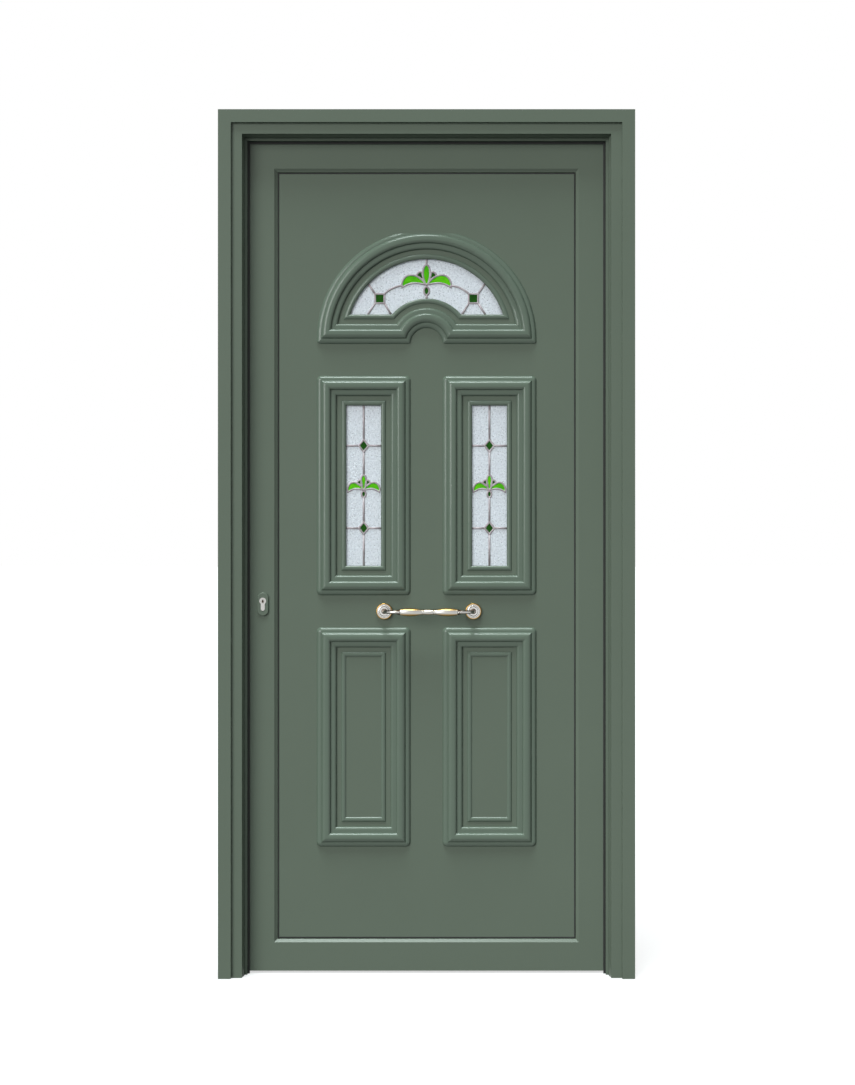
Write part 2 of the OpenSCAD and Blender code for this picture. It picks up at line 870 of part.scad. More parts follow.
// A rectangular moulding about its own middle
module moulding_rectangle(w, h) {
    for (m = [0, 1]) mirror([m, 0, 0]) {
        translate([-w / 2, 0, -h / 2]) moulding_run(h);
        for (n = [0, 1]) mirror([0, 0, n])
            translate([-w / 2 + corner_r, 0, -h / 2 + corner_r]) corner_turn();
    }
    for (n = [0, 1]) mirror([0, 0, n])
        translate([w / 2, 0, -h / 2]) rotate([0, -90, 0]) moulding_run(w);
}

// Fanlight: a half-round arch on a straight base with a half-round notch in its middle.
// Each of the three edges carries the same half section, and where the three bodies
// cross they meet in the curved mitres that straight and round mouldings make.
module fan_crossing() {
    intersection() {
        translate([0, 0, corner_r]) sweep(-arch_over, 180 + arch_over) intersection() {
            translate([fan_r, 0]) mirror([1, 0]) children();
            square([fan_r, far]);
        }
        sweep(0, 180) translate([notch_r, 0]) children();
        translate([fan_r, 0, 0]) rotate([0, -90, 0]) linear_extrude(2 * fan_r) children();
    }
}

// Half sections for the crossing: they reach from an edge to the far side of the fanlight
module crown_half() {
    rounded_step(step_w, step_h);
    translate([step_w, 0]) square([fan_r - step_w, step_h]);
    translate([crown_start, step_h]) rounded_step(crown_w, crown_h - step_h);
    translate([crown_start + crown_w, step_h]) square([fan_r - crown_start - crown_w, crown_h - step_h]);
}

module well_half() {
    difference() {
        translate([crown_end, 0]) square([fan_r - crown_end, crown_h + cut]);
        translate([crown_end, 0]) square([fall_w + ledge_w, ledge_h]);
        translate([ledge_start, ledge_h]) mirror([1, 0]) rounded_step(fall_w, crown_h - ledge_h);
        translate([flat_start, 0]) mirror([1, 0]) rounded_step(inner_fall_w, ledge_h);
    }
}

module bead_half() {
    translate([bead_start, 0]) rounded_step(bead_w, bead_h);
    translate([bead_crest, 0]) square([fan_r - bead_crest, bead_h]);
}

module bead_well_half() {
    difference() {
        translate([bead_crest, 0]) square([fan_r - bead_crest, bead_h + cut]);
        translate([band_w, 0]) mirror([1, 0]) rounded_step(bead_w, bead_h);
    }
}

// What lies outside the rounding circle in each of the fanlight's four corners
module fan_corner_cuts() {
    upright(-cut, crown_h + 2 * cut) for (m = [0, 1]) mirror([m, 0]) {
        difference() {
            translate([-fan_r - cut, -cut]) square([corner_r + cut, corner_r + cut]);
            translate([-fan_r + corner_r, corner_r]) circle(fan_corner_r, $fn = fine_fn);
        }
        difference() {
            polygon([[0, -cut], [notch_corner[0], -cut], notch_corner, [0, 0]]);
            translate(notch_corner) circle(fan_corner_r, $fn = fine_fn);
        }
    }
}

// The fanlight's moulding, with its base line at Z = 0 and its middle at X = 0
module moulding_fan() {
    difference() {
        fan_crossing() crown_half();
        fan_crossing() well_half();
        fan_corner_cuts();
    }
    difference() {
        fan_crossing() bead_half();
        fan_crossing() bead_well_half();
    }
}

// The fanlight's outline, set in by a
module fan_outline(a) {
    difference() {
        intersection() {
            translate([0, corner_r]) circle(fan_r - a, $fn = fine_fn);
            translate([-fan_r, a]) square([2 * fan_r, 2 * fan_r]);
        }
        circle(notch_r + a, $fn = fine_fn);
    }
}

module at_columns(z) {
    for (s = [-1, 1]) translate([s * column_x, 0, z]) children();
}

// The five moulded frames, each with the bead along its inner edge, with Y as the height
// over the panel's face
module mouldings() {
    at_columns(lower_z + lower_h / 2) moulding_rectangle(moulding_w, lower_h);
    at_columns(side_middle) moulding_rectangle(moulding_w, upper_h);
    translate([0, 0, fan_z]) moulding_fan();
}

// Puts what is drawn over a face on the outside (side -1) or the inside (side 1)
module on_face(side) {
    translate([0, side < 0 ? panel_outer : panel_inner, 0])
        mirror([0, side < 0 ? 1 : 0, 0]) children();
}

module panel_outline() {
    translate([-panel_half, panel_low]) square([2 * panel_half, panel_high - panel_low]);
}

// Openings for the glass, set in by a from the mouldings' outer edges
module glass_outlines(a) {
    for (s = [-1, 1]) translate([s * column_x, side_middle])
        square([moulding_w - 2 * a, upper_h - 2 * a], center = true);
    translate([0, fan_z]) fan_outline(a);
}

module pull_holes() {
    upright(panel_outer - cut, panel_t + 2 * cut)
        for (s = [-1, 1])
            translate([pull_shift + s * pull_span / 2, pull_z]) circle(stud_r + fit, $fn = round_fn);
}

// A skin is a flat sheet. Round each glass unit its edge is turned in to a lip that meets
// the pane.
module panel_skin(side) {
    difference() {
        on_face(side) upright(-skin_t, skin_t) difference() {
            panel_outline();
            glass_outlines(band_w);
        }
        pull_holes();
    }
    on_face(side) upright(-glass_set, glass_set) difference() {
        glass_outlines(band_w - skin_t);
        glass_outlines(band_w);
    }
}

module panel_skin_outer() {
    color(paint) panel_skin(-1);
}

module panel_skin_inner() {
    color(paint) panel_skin(1);
}

module panel_core() {
    color(foam) difference() {
        upright(panel_outer + skin_t, panel_t - 2 * skin_t) panel_outline();
        upright(panel_outer, panel_t) glass_outlines(band_w - skin_t);
        upright(glass_outer, glass_inner - glass_outer) glass_outlines(glass_w - glass_gap);
        pull_holes();
    }
}

// The mouldings are bonded to the skins
module mouldings_outer() {
    color(paint) on_face(-1) mouldings();
}

module mouldings_inner() {
    color(paint) on_face(1) mouldings();
}

// Glass units
module side_pane(side, y0) {
    upright(y0, pane_t) translate([side * column_x, side_middle])
        square([moulding_w - 2 * glass_w, upper_h - 2 * glass_w], center = true);
}

module fan_pane(y0) {
    translate([0, 0, fan_z]) upright(y0, pane_t) fan_outline(glass_w);
}

module fanlight_pane_outer() {
    color(glass) fan_pane(glass_outer);
}

module fanlight_pane_inner() {
    color(glass) fan_pane(glass_inner - pane_t);
}

module left_pane_outer() {
    color(glass) side_pane(-1, glass_outer);
}

module left_pane_inner() {
    color(glass) side_pane(-1, glass_inner - pane_t);
}

module right_pane_outer() {
    color(glass) side_pane(1, glass_outer);
}

module right_pane_inner() {
    color(glass) side_pane(1, glass_inner - pane_t);
}

module glass_spacers() {
    color(steel) upright(glass_outer + pane_t, spacer_depth) difference() {
        glass_outlines(glass_w + 1);
        glass_outlines(glass_w + 1 + spacer_w);
    }
}

// Leaded pattern
function bezier(p, t) =
    pow(1 - t, 3) * p[0] + 3 * pow(1 - t, 2) * t * p[1]
    + 3 * (1 - t) * t * t * p[2] + pow(t, 3) * p[3];
function curve(p, n) = [for (i = [0:n - 1]) bezier(p, i / n)];
function mirrored(points) = [for (p = points) [-p[0], p[1]]];
function scaled(points, s) = [for (p = points) [p[0] * s[0], p[1] * s[1]]];

leaf_steps = 6;
middle_leaf = concat(
    curve([[0, 0], [10, 20], [8, 44], [0, 49]], leaf_steps),
    curve([[0, 49], [-8, 44], [-10, 20], [0, 0]], leaf_steps)
);
side_leaf = concat(
    curve([[5.5, 2.5], [14, 12], [26, 22], [39, 22]], leaf_steps),
    curve([[39, 22], [52, 22], [60, 12], [61.4, -5]], leaf_steps),
    curve([[61.4, -5], [46, 8], [26, 9], [5.5, 2.5]], leaf_steps)
);
side_bud = concat(
    curve([[9.5, 14], [13, 18], [18, 21], [23, 22.8]], leaf_steps),
    curve([[23, 22.8], [21, 28], [17, 31], [12, 30]], leaf_steps)
);
low_bud = concat(
    curve([[0, -7.6], [6, -11], [6, -21], [0, -25]], leaf_steps),
    curve([[0, -25], [-6, -21], [-6, -11], [0, -7.6]], leaf_steps)
);

// The three leaves and the three buds, drawn about the point where they join
module leaf_shapes(s) {
    polygon(scaled(middle_leaf, s));
    polygon(scaled(side_leaf, s));
    polygon(scaled(mirrored(side_leaf), s));
}

module bud_shapes(s) {
    polygon(scaled(low_bud, s));
    polygon(scaled(side_bud, s));
    polygon(scaled(mirrored(side_bud), s));
}

// A came between two points, and one along a curve
module came(p, q) {
    d = q - p;
    translate(p) rotate(atan2(d[1], d[0])) translate([0, -came_w / 2]) square([norm(d), came_w]);
}

module curved_came(points) {
    for (i = [0:len(points) - 2]) {
        came(points[i], points[i + 1]);
        translate(points[i]) circle(came_w / 2, $fn = round_fn);
    }
}

// The border of cames round coloured pieces
module came_border() {
    difference() {
        offset(delta = came_w * 0.75) children();
        children();
    }
}

module motif_cames(s) {
    difference() {
        union() {
            came_border() leaf_shapes(s);
            came_border() bud_shapes(s);
        }
        leaf_shapes(s);
        bud_shapes(s);
    }
}

// The fanlight's pattern, drawn about the middle of its base line
square_middle = [-square_x, square_z - fan_z];

module fan_squares() {
    for (m = [0, 1]) mirror([m, 0])
        translate(square_middle) square(square_w, center = true);
}

module fan_lines() {
    leaf_z = fan_leaf_z - fan_z;
    half = square_w / 2 + came_w / 2;
    low_end = [square_middle[0] - half - 20, band_w - cut];
    inner_end = [square_middle[0] + half + 18, band_w - cut];
    upper_end = square_middle + [-half - 15, half + 23];
    tip = [-63, leaf_z - 1];
    came([0, leaf_z + 48], [0, fan_r + corner_r - band_w + cut]);
    came([0, notch_r + band_w - cut], [0, leaf_z - 25]);
    for (m = [0, 1]) mirror([m, 0]) {
        came(low_end, square_middle + [-half, -half]);
        came(square_middle + [half, -half], inner_end);
        came(square_middle + [-half, half], upper_end);
        curved_came(concat(
            curve([square_middle + [half, half], [-98, leaf_z - 14], [-80, leaf_z - 4], tip], 4), [tip]
        ));
    }
}

module fan_cames_flat() {
    leaf_z = fan_leaf_z - fan_z;
    difference() {
        intersection() {
            union() {
                fan_lines();
                came_border() fan_squares();
                translate([0, leaf_z]) motif_cames([1, 1]);
            }
            fan_outline(band_w + fit);
        }
        fan_squares();
        translate([0, leaf_z]) leaf_shapes([1, 1]);
        translate([0, leaf_z]) bud_shapes([1, 1]);
    }
}

// A side light's pattern, drawn about the side light's middle
module diamonds() {
    for (z = [upper_diamond, -lower_diamond])
        translate([0, z]) polygon([[-diamond_w, 0], [0, diamond_h], [diamond_w, 0], [0, -diamond_h]]);
}

module side_cames_flat() {
    half_w = side_light_w / 2;
    half_h = side_light_h / 2;
    difference() {
        union() {
            came([0, leaf_tip * side_leaf_scale[1] - side_leaf_drop], [0, half_h]);
            came([0, -half_h], [0, -bud_foot * side_leaf_scale[1] - side_leaf_drop]);
            for (z = [upper_diamond, -lower_diamond]) came([-half_w, z], [half_w, z]);
            came_border() diamonds();
            translate([0, -side_leaf_drop]) motif_cames(side_leaf_scale);
        }
        diamonds();
        translate([0, -side_leaf_drop]) leaf_shapes(side_leaf_scale);
        translate([0, -side_leaf_drop]) bud_shapes(side_leaf_scale);
    }
}

module fanlight_cames() {
    color(lead) translate([0, 0, fan_z]) upright(glass_outer - came_h, came_h) fan_cames_flat();
}

module side_cames() {
    color(lead) at_columns(side_middle) upright(glass_outer - came_h, came_h) side_cames_flat();
}

module fanlight_leaves() {
    color(leaf_green) translate([0, 0, fan_leaf_z])
        upright(glass_outer - tint_t, tint_t) leaf_shapes([1, 1]);
}

module fanlight_buds() {
    color(bud_green) {
        translate([0, 0, fan_leaf_z]) upright(glass_outer - tint_t, tint_t) bud_shapes([1, 1]);
        translate([0, 0, fan_z]) upright(glass_outer - tint_t, tint_t) fan_squares();
    }
}

module side_leaves() {
    color(leaf_green) at_columns(side_leaf_z)
        upright(glass_outer - tint_t, tint_t) leaf_shapes(side_leaf_scale);
}

module side_buds() {
    color(bud_green) {
        at_columns(side_leaf_z) upright(glass_outer - tint_t, tint_t) bud_shapes(side_leaf_scale);
        at_columns(side_middle) upright(glass_outer - tint_t, tint_t) diamonds();
    }
}

// Lock
module lock_case() {
    depth = case_back - case_front;
    color(steel) difference() {
        translate([-leaf_half + case_front, -case_t / 2, case_low]) cube([depth, case_t, case_h]);
        translate([-leaf_half + case_front + case_wall, -case_t / 2 + case_wall, case_low + case_wall])
            cube([depth - 2 * case_wall, case_t - 2 * case_wall, case_h - 2 * case_wall]);
        for (b = [[latch_z, latch_h], [dead_z, dead_h]])
            translate([-leaf_half, -bolt_t / 2 - bolt_gap, b[0] - b[1] / 2 - bolt_gap])
                cube([case_front + case_wall + cut, bolt_t + 2 * bolt_gap, b[1] + 2 * bolt_gap]);
        cylinder_prism(-case_t, case_t, fit);
        lever_bore(-case_t, case_t, lever_r);
    }
}

module lock_forend() {
    color(steel) difference() {
        translate([-leaf_half, -groove_w / 2 + fit, case_low - 16])
            cube([groove_d, groove_w - 2 * fit, case_h + 32]);
        for (b = [[latch_z, latch_h], [dead_z, dead_h]])
            translate([-leaf_half - cut, -bolt_t / 2 - bolt_gap, b[0] - b[1] / 2 - bolt_gap])
                cube([groove_d + 2 * cut, bolt_t + 2 * bolt_gap, b[1] + 2 * bolt_gap]);
        screw_cuts(forend_screw_places(), 1);
    }
}

module cylinder_body() {
    color(steel) difference() {
        cylinder_prism(-cylinder_half, cylinder_half, 0);
        translate([lock_x, far / 2, plug_z]) rotate([90, 0, 0])
            cylinder(h = far, r = plug_r + run_gap, $fn = round_fn);
        translate([lock_x - far / 2, -cam_w / 2 - cam_gap, plug_z - cam_l - cam_gap])
            cube([far, cam_w + 2 * cam_gap, far]);
    }
}

// The plug turns about Y. Its cam hangs down at rest and reaches into the lock case.
module cylinder_plug() {
    slot_w = 2.4;
    slot_h = 8;
    slot_d = 12;
    tip_r = cam_w / 2;
    color(brass) translate([lock_x, 0, plug_z]) difference() {
        union() {
            translate([0, cylinder_half, 0]) rotate([90, 0, 0])
                cylinder(h = 2 * cylinder_half, r = plug_r, $fn = round_fn);
            upright(-cam_w / 2, cam_w) {
                translate([-tip_r, -cam_l + tip_r]) square([2 * tip_r, cam_l - tip_r]);
                translate([0, -cam_l + tip_r]) circle(tip_r, $fn = round_fn);
            }
        }
        for (s = [-1, 1]) translate([-slot_w / 2, s * cylinder_half - slot_d, -slot_h / 2])
            cube([slot_w, 2 * slot_d, slot_h]);
    }
}

// An oval plate with a rounded edge: two half turns and a straight middle.
// The section is drawn in distance from the middle line and height over the face.
module oval_plate(w, h, t) {
    edge_r = t / 2;
    straight = h - w;
    module section() {
        square([w / 2 - edge_r, t]);
        square([w / 2, t - edge_r]);
        translate([w / 2 - edge_r, t - edge_r]) circle(edge_r, $fn = round_fn);
    }
    for (s = [0, 1]) mirror([0, 0, s])
        translate([0, 0, straight / 2]) sweep(0, 180) section();
    for (s = [0, 1]) mirror([s, 0, 0])
        translate([0, 0, -straight / 2]) linear_extrude(straight) section();
}

module escutcheons() {
    middle_z = plug_z + head_r - cylinder_h / 2;
    color(paint) difference() {
        union() {
            translate([lock_x, inner_face, middle_z]) oval_plate(plate_w, plate_h, plate_t);
            translate([lock_x, outer_face, middle_z])
                mirror([0, 1, 0]) oval_plate(plate_w, plate_h, plate_t);
        }
        cylinder_prism(-2 * leaf_t, 2 * leaf_t, fit);
    }
}

module lever_rose() {
    color(paint) difference() {
        translate([lock_x, inner_face, lever_z]) oval_plate(plate_w, plate_h, plate_t);
        lever_bore(inner_face - cut, inner_face + 2 * plate_t, lever_r + clear);
    }
}

module lever_handle() {
    neck_y = inner_face + 22;
    bend = 18;
    color(steel) translate([lock_x, 0, lever_z]) difference() {
        union() {
            translate([0, neck_y, 0]) rotate([90, 0, 0])
                cylinder(h = neck_y - inner_face - plate_t + 4, r = lever_r, $fn = round_fn);
            translate([bend, neck_y, 0]) rotate([0, 0, 90])
                rotate_extrude(angle = 90, $fn = fine_fn)
                    translate([bend, 0]) circle(lever_r, $fn = round_fn);
            translate([bend, neck_y + bend, 0]) rotate([0, 90, 0])
                cylinder(h = lever_l - bend - lever_r, r = lever_r, $fn = round_fn);
            translate([lever_l - lever_r, neck_y + bend, 0]) sphere(lever_r, $fn = round_fn);
        }
        translate([-spindle_w / 2, 0, -spindle_w / 2]) cube([spindle_w, neck_y - 4, spindle_w]);
    }
}

// Square spindle with the follower that draws the latch
module lever_spindle() {
    hub_r = lever_r - 0.3;
    hub_half = case_t / 2 - case_wall - clear;
    color(steel) translate([lock_x, 0, lever_z]) {
        translate([-spindle_w / 2, -hub_half, -spindle_w / 2])
            cube([spindle_w, inner_face + 18 + hub_half, spindle_w]);
        translate([0, hub_half, 0]) rotate([90, 0, 0])
            cylinder(h = 2 * hub_half, r = hub_r, $fn = round_fn);
    }
}

// The latch's nose slopes on the side that meets the strike as the leaf closes
module latch_bolt() {
    tip = -leaf_half - latch_out;
    back = tip + bolt_l;
    nose_t = 4;
    color(steel) translate([0, 0, latch_z - latch_h / 2]) linear_extrude(latch_h)
        polygon([
            [back, -bolt_t / 2], [-leaf_half - 0.5, -bolt_t / 2],
            [tip, bolt_t / 2 - nose_t], [tip, bolt_t / 2], [back, bolt_t / 2],
        ]);
}

module dead_bolt() {
    color(steel) translate([-leaf_half + fit, -bolt_t / 2, dead_z - dead_h / 2])
        cube([bolt_l, bolt_t, dead_h]);
}

// Pull handle, drawn about its own middle with its axis along X
module at_pull() {
    translate([pull_shift, 0, pull_z]) children();
}

// Turns what is drawn about Z outwards, so that Z runs away from the panel
module outwards(x) {
    translate([x, panel_outer, 0]) rotate([90, 0, 0]) children();
}

module pull_rosettes() {
    rim = 2.4;
    dish = rosette_r - 2 * rim;
    color(brass) at_pull() for (s = [-1, 1]) outwards(s * pull_span / 2)
        difference() {
            rotate_extrude($fn = fine_fn) {
                square([rosette_r, rosette_t - rim]);
                square([rosette_r - rim, rosette_t]);
                translate([rosette_r - rim, rosette_t - rim]) circle(rim, $fn = round_fn);
            }
            rotate_extrude($fn = fine_fn) difference() {
                translate([0, rosette_t - rim]) square([dish, rim + cut]);
                translate([dish - rim, rosette_t - rim]) circle(rim, $fn = round_fn);
                translate([arm_r, rosette_t - rim]) circle(rim, $fn = round_fn);
            }
            translate([0, 0, rosette_t - rim]) cylinder(h = rosette_t, r = arm_r + fit, $fn = round_fn);
            translate([0, 0, -cut]) cylinder(h = rosette_t / 2 + cut, r = stud_r + fit, $fn = round_fn);
        }
}

// Arms: out of the rosette, round the bend and into a collar
module pull_arms() {
    straight = pull_reach - arm_bend - rosette_t + 2.4;
    collar_x = pull_span / 2 - arm_bend;
    color(steel) at_pull() for (s = [0, 1]) mirror([s, 0, 0]) {
        outwards(pull_span / 2) translate([0, 0, rosette_t - 2.4])
            cylinder(h = straight, r = arm_r, $fn = round_fn);
        translate([collar_x, pull_y + arm_bend, 0]) rotate([0, 0, -90])
            rotate_extrude(angle = 90, $fn = fine_fn)
                translate([arm_bend, 0]) circle(arm_r, $fn = round_fn);
        translate([collar_x - collar_l, pull_y, 0]) rotate([0, 90, 0])
            rotate_extrude($fn = fine_fn) collar_profile();
    }
}

// Half section of the collar in radius and length: a ring between two smaller ones
module collar_profile() {
    bead_r = collar_l / 4;
    square([collar_r - bead_r, collar_l]);
    translate([collar_r - bead_r, bead_r]) circle(bead_r, $fn = round_fn);
    translate([collar_r - 1.5 * bead_r, 3 * bead_r]) circle(bead_r, $fn = round_fn);
}

grip_inner = knob_l / 2;
grip_outer = grip_inner + grip_l;

// Half section of a grip in radius and length, swelling towards its outer third
function grip_curve() = concat(
    curve([[grip_neck_r, 0], [grip_neck_r + 1, 8], [grip_r, 14], [grip_r, grip_l * 0.55]], leaf_steps),
    curve([[grip_r, grip_l * 0.55], [grip_r, grip_l * 0.8], [grip_end_r + 0.4, grip_l * 0.9],
        [grip_end_r, grip_l]], leaf_steps),
    [[grip_end_r, grip_l], [0, grip_l], [0, 0]]
);

module pull_grips() {
    color(brass) at_pull() for (s = [0, 1]) mirror([s, 0, 0])
        translate([grip_inner, pull_y, 0]) rotate([0, 90, 0])
            rotate_extrude($fn = fine_fn) polygon(grip_curve());
}

// The turned piece between the grips, with a ring at each end
module pull_knob() {
    ring_r = 2.5;
    middle_r = grip_neck_r + 0.4;
    swell_r = 3 * knob_l;
    color(steel) at_pull() translate([-knob_l / 2, pull_y, 0]) rotate([0, 90, 0])
        rotate_extrude($fn = fine_fn) {
            square([grip_neck_r - 0.6, knob_l]);
            for (z = [ring_r, knob_l - ring_r])
                translate([middle_r - ring_r + 0.6, z]) circle(ring_r, $fn = round_fn);
            intersection() {
                translate([middle_r - swell_r, knob_l / 2]) circle(swell_r, $fn = 4 * fine_fn);
                translate([0, 2 * ring_r]) square([middle_r, knob_l - 4 * ring_r]);
            }
        }
}

// Bolts through the panel, with domed heads on the inside
module pull_bolts() {
    head_r0 = 9;
    head_t = 4;
    cap_r = (head_r0 * head_r0 + head_t * head_t) / (2 * head_t);
    length = panel_t + rosette_t / 2 - clear;
    color(steel) at_pull() for (s = [-1, 1]) translate([s * pull_span / 2, panel_inner, 0]) {
        rotate([90, 0, 0]) cylinder(h = length, r = stud_r, $fn = round_fn);
        rotate([-90, 0, 0]) rotate_extrude($fn = fine_fn) intersection() {
            translate([0, head_t - cap_r]) circle(cap_r, $fn = fine_fn);
            square([head_r0, head_t]);
        }
    }
}

frame_head();
frame_jamb_lock();
frame_jamb_hinge();
trim_head();
trim_lock_side();
trim_hinge_side();
frame_corner_cleats();
frame_seal();
strike_plate();
strike_screws();
hinge_frame_wings();
hinge_pins();
hinge_frame_screws();
leaf_stile_lock();
leaf_stile_hinge();
leaf_rail_top();
leaf_rail_bottom();
leaf_corner_cleats();
glazing_bead_top();
glazing_bead_bottom();
glazing_bead_lock();
glazing_bead_hinge();
panel_gasket_outer();
panel_gasket_inner();
bottom_brush();
panel_skin_outer();
panel_core();
panel_skin_inner();
mouldings_outer();
mouldings_inner();
fanlight_pane_outer();
fanlight_pane_inner();
fanlight_cames();
fanlight_leaves();
fanlight_buds();
left_pane_outer();
left_pane_inner();
right_pane_outer();
right_pane_inner();
side_cames();
side_leaves();
side_buds();
glass_spacers();
lock_case();
lock_forend();
cylinder_body();
escutcheons();
lever_rose();
hinge_leaf_wings();
leaf_screws();
pull_rosettes();
pull_arms();
pull_grips();
pull_knob();
pull_bolts();
latch_bolt();
dead_bolt();
cylinder_plug();
lever_handle();
lever_spindle();
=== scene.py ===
"""Looks of the panelled front door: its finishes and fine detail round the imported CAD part."""

import math

import bmesh
import bpy
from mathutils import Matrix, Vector


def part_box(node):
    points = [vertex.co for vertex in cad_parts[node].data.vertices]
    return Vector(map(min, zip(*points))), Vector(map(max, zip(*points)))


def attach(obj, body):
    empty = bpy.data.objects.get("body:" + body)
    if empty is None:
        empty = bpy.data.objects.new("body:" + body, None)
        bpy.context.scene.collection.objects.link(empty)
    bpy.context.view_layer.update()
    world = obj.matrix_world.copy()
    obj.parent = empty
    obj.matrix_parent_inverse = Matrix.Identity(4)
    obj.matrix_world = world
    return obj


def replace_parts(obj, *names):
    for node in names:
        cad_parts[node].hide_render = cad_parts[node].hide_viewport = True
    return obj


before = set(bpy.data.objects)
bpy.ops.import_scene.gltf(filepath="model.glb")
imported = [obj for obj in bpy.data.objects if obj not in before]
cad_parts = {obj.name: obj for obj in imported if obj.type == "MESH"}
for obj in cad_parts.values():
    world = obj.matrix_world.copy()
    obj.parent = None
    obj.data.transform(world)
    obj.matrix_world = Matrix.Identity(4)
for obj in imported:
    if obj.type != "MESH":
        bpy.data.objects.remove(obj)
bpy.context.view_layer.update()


# Frame
# Two jambs and a head, mitred hollow aluminium extrusions with clip-on trims, coated
# with satin grey-green powder. The powder melts to a skin with a faint orange peel.

def add_node(tree, kind, inputs=None, **settings):
    """One shader node with its settings, and each input set to a value or joined to a socket."""
    node = tree.nodes.new(kind)
    for name, value in settings.items():
        setattr(node, name, value)
    for name, value in (inputs or {}).items():
        if isinstance(value, bpy.types.NodeSocket):
            tree.links.new(value, node.inputs[name])
        else:
            node.inputs[name].default_value = value
    return node


def mix_colours(tree, factor, first, second):
    """A colour between two. Sockets 6 and 7 of a mix node take colours, output 2 gives one."""
    mix = add_node(tree, "ShaderNodeMix", {"Factor": factor, 6: first, 7: second}, data_type="RGBA")
    return mix.outputs[2]


def spread_roughness(tree, noise, given):
    """The group's roughness, moved up and down by a noise."""
    shift = add_node(tree, "ShaderNodeMath", {0: noise, 1: 0.5}, operation="SUBTRACT")
    rough = add_node(
        tree,
        "ShaderNodeMath",
        {0: shift.outputs[0], 1: given["Roughness spread"], 2: given["Roughness"]},
        operation="MULTIPLY_ADD",
    )
    return rough.outputs[0]


def new_effect(name, inputs):
    """An empty effect group that puts out a colour, a roughness and a height."""
    group = bpy.data.node_groups.new(name, "ShaderNodeTree")
    for label, kind, value in inputs:
        socket = group.interface.new_socket(label, in_out="INPUT", socket_type=kind)
        socket.default_value = value
    for label, kind in (
        ("Colour", "NodeSocketColor"),
        ("Roughness", "NodeSocketFloat"),
        ("Height", "NodeSocketFloat"),
    ):
        group.interface.new_socket(label, in_out="OUTPUT", socket_type=kind)
    given = group.nodes.new("NodeGroupInput").outputs
    result = group.nodes.new("NodeGroupOutput").inputs
    return group, given, result


def mottled_skin():
    """Broad clouds between two colours, with a fine grain in gloss and height."""
    group, given, result = new_effect(
        "mottled_skin",
        (
            ("Colour", "NodeSocketColor", (0.5, 0.5, 0.5, 1)),
            ("Second colour", "NodeSocketColor", (0.4, 0.4, 0.4, 1)),
            ("Cloud scale", "NodeSocketFloat", 4.0),
            ("Grain scale", "NodeSocketFloat", 500.0),
            ("Roughness", "NodeSocketFloat", 0.4),
            ("Roughness spread", "NodeSocketFloat", 0.06),
        ),
    )
    place = add_node(group, "ShaderNodeTexCoord").outputs["Object"]
    clouds = add_node(
        group,
        "ShaderNodeTexNoise",
        {"Vector": place, "Scale": given["Cloud scale"], "Detail": 5.0, "Roughness": 0.6},
    )
    grain = add_node(
        group,
        "ShaderNodeTexNoise",
        {"Vector": place, "Scale": given["Grain scale"], "Detail": 2.0, "Roughness": 0.5},
    )
    spread_clouds = add_node(
        group,
        "ShaderNodeMapRange",
        {"Value": clouds.outputs["Fac"], "From Min": 0.3, "From Max": 0.7},
    )
    colour = mix_colours(
        group, spread_clouds.outputs["Result"], given["Colour"], given["Second colour"]
    )
    rough = spread_roughness(group, grain.outputs["Fac"], given)
    group.links.new(colour, result["Colour"])
    group.links.new(rough, result["Roughness"])
    group.links.new(grain.outputs["Fac"], result["Height"])
    return group


SKIN = mottled_skin()


def new_finish(name, effect, values, bump, **shader_values):
    """A material: an effect group feeds a Principled BSDF, whose own sockets hold the constants."""
    material = bpy.data.materials.new(name)
    material.use_nodes = True
    tree = material.node_tree
    shader = tree.nodes["Principled BSDF"]
    for label, value in shader_values.items():
        shader.inputs[label.replace("_", " ")].default_value = value
    group = add_node(tree, "ShaderNodeGroup", node_tree=effect)
    for label, value in values.items():
        group.inputs[label].default_value = value
    strength, distance = bump
    relief = add_node(
        tree,
        "ShaderNodeBump",
        {"Height": group.outputs["Height"], "Strength": strength, "Distance": distance},
    )
    tree.links.new(group.outputs["Colour"], shader.inputs["Base Color"])
    tree.links.new(group.outputs["Roughness"], shader.inputs["Roughness"])
    tree.links.new(relief.outputs["Normal"], shader.inputs["Normal"])
    return material


def give(material, *names):
    """Puts a material on the named CAD nodes."""
    for name in names:
        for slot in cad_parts[name].material_slots:
            slot.material = material


powder_coat = new_finish(
    "powder_coat",
    SKIN,
    {
        "Colour": (0.110, 0.141, 0.108, 1),
        "Second colour": (0.105, 0.135, 0.103, 1),
        "Cloud scale": 3.0,
        "Grain scale": 420.0,
        "Roughness": 0.26,
        "Roughness spread": 0.06,
    },
    bump=(0.05, 0.0003),
    Specular_IOR_Level=0.18,
)
give(powder_coat, "frame_head", "frame_jamb_lock", "frame_jamb_hinge")
give(powder_coat, "trim_head", "trim_lock_side", "trim_hinge_side")


# Cleats, seal and strike
# Cast cleats join the mitres from inside. A black rubber seal lies against the stop lip.
# The strike is a zinc-plated steel plate let into the lock jamb.

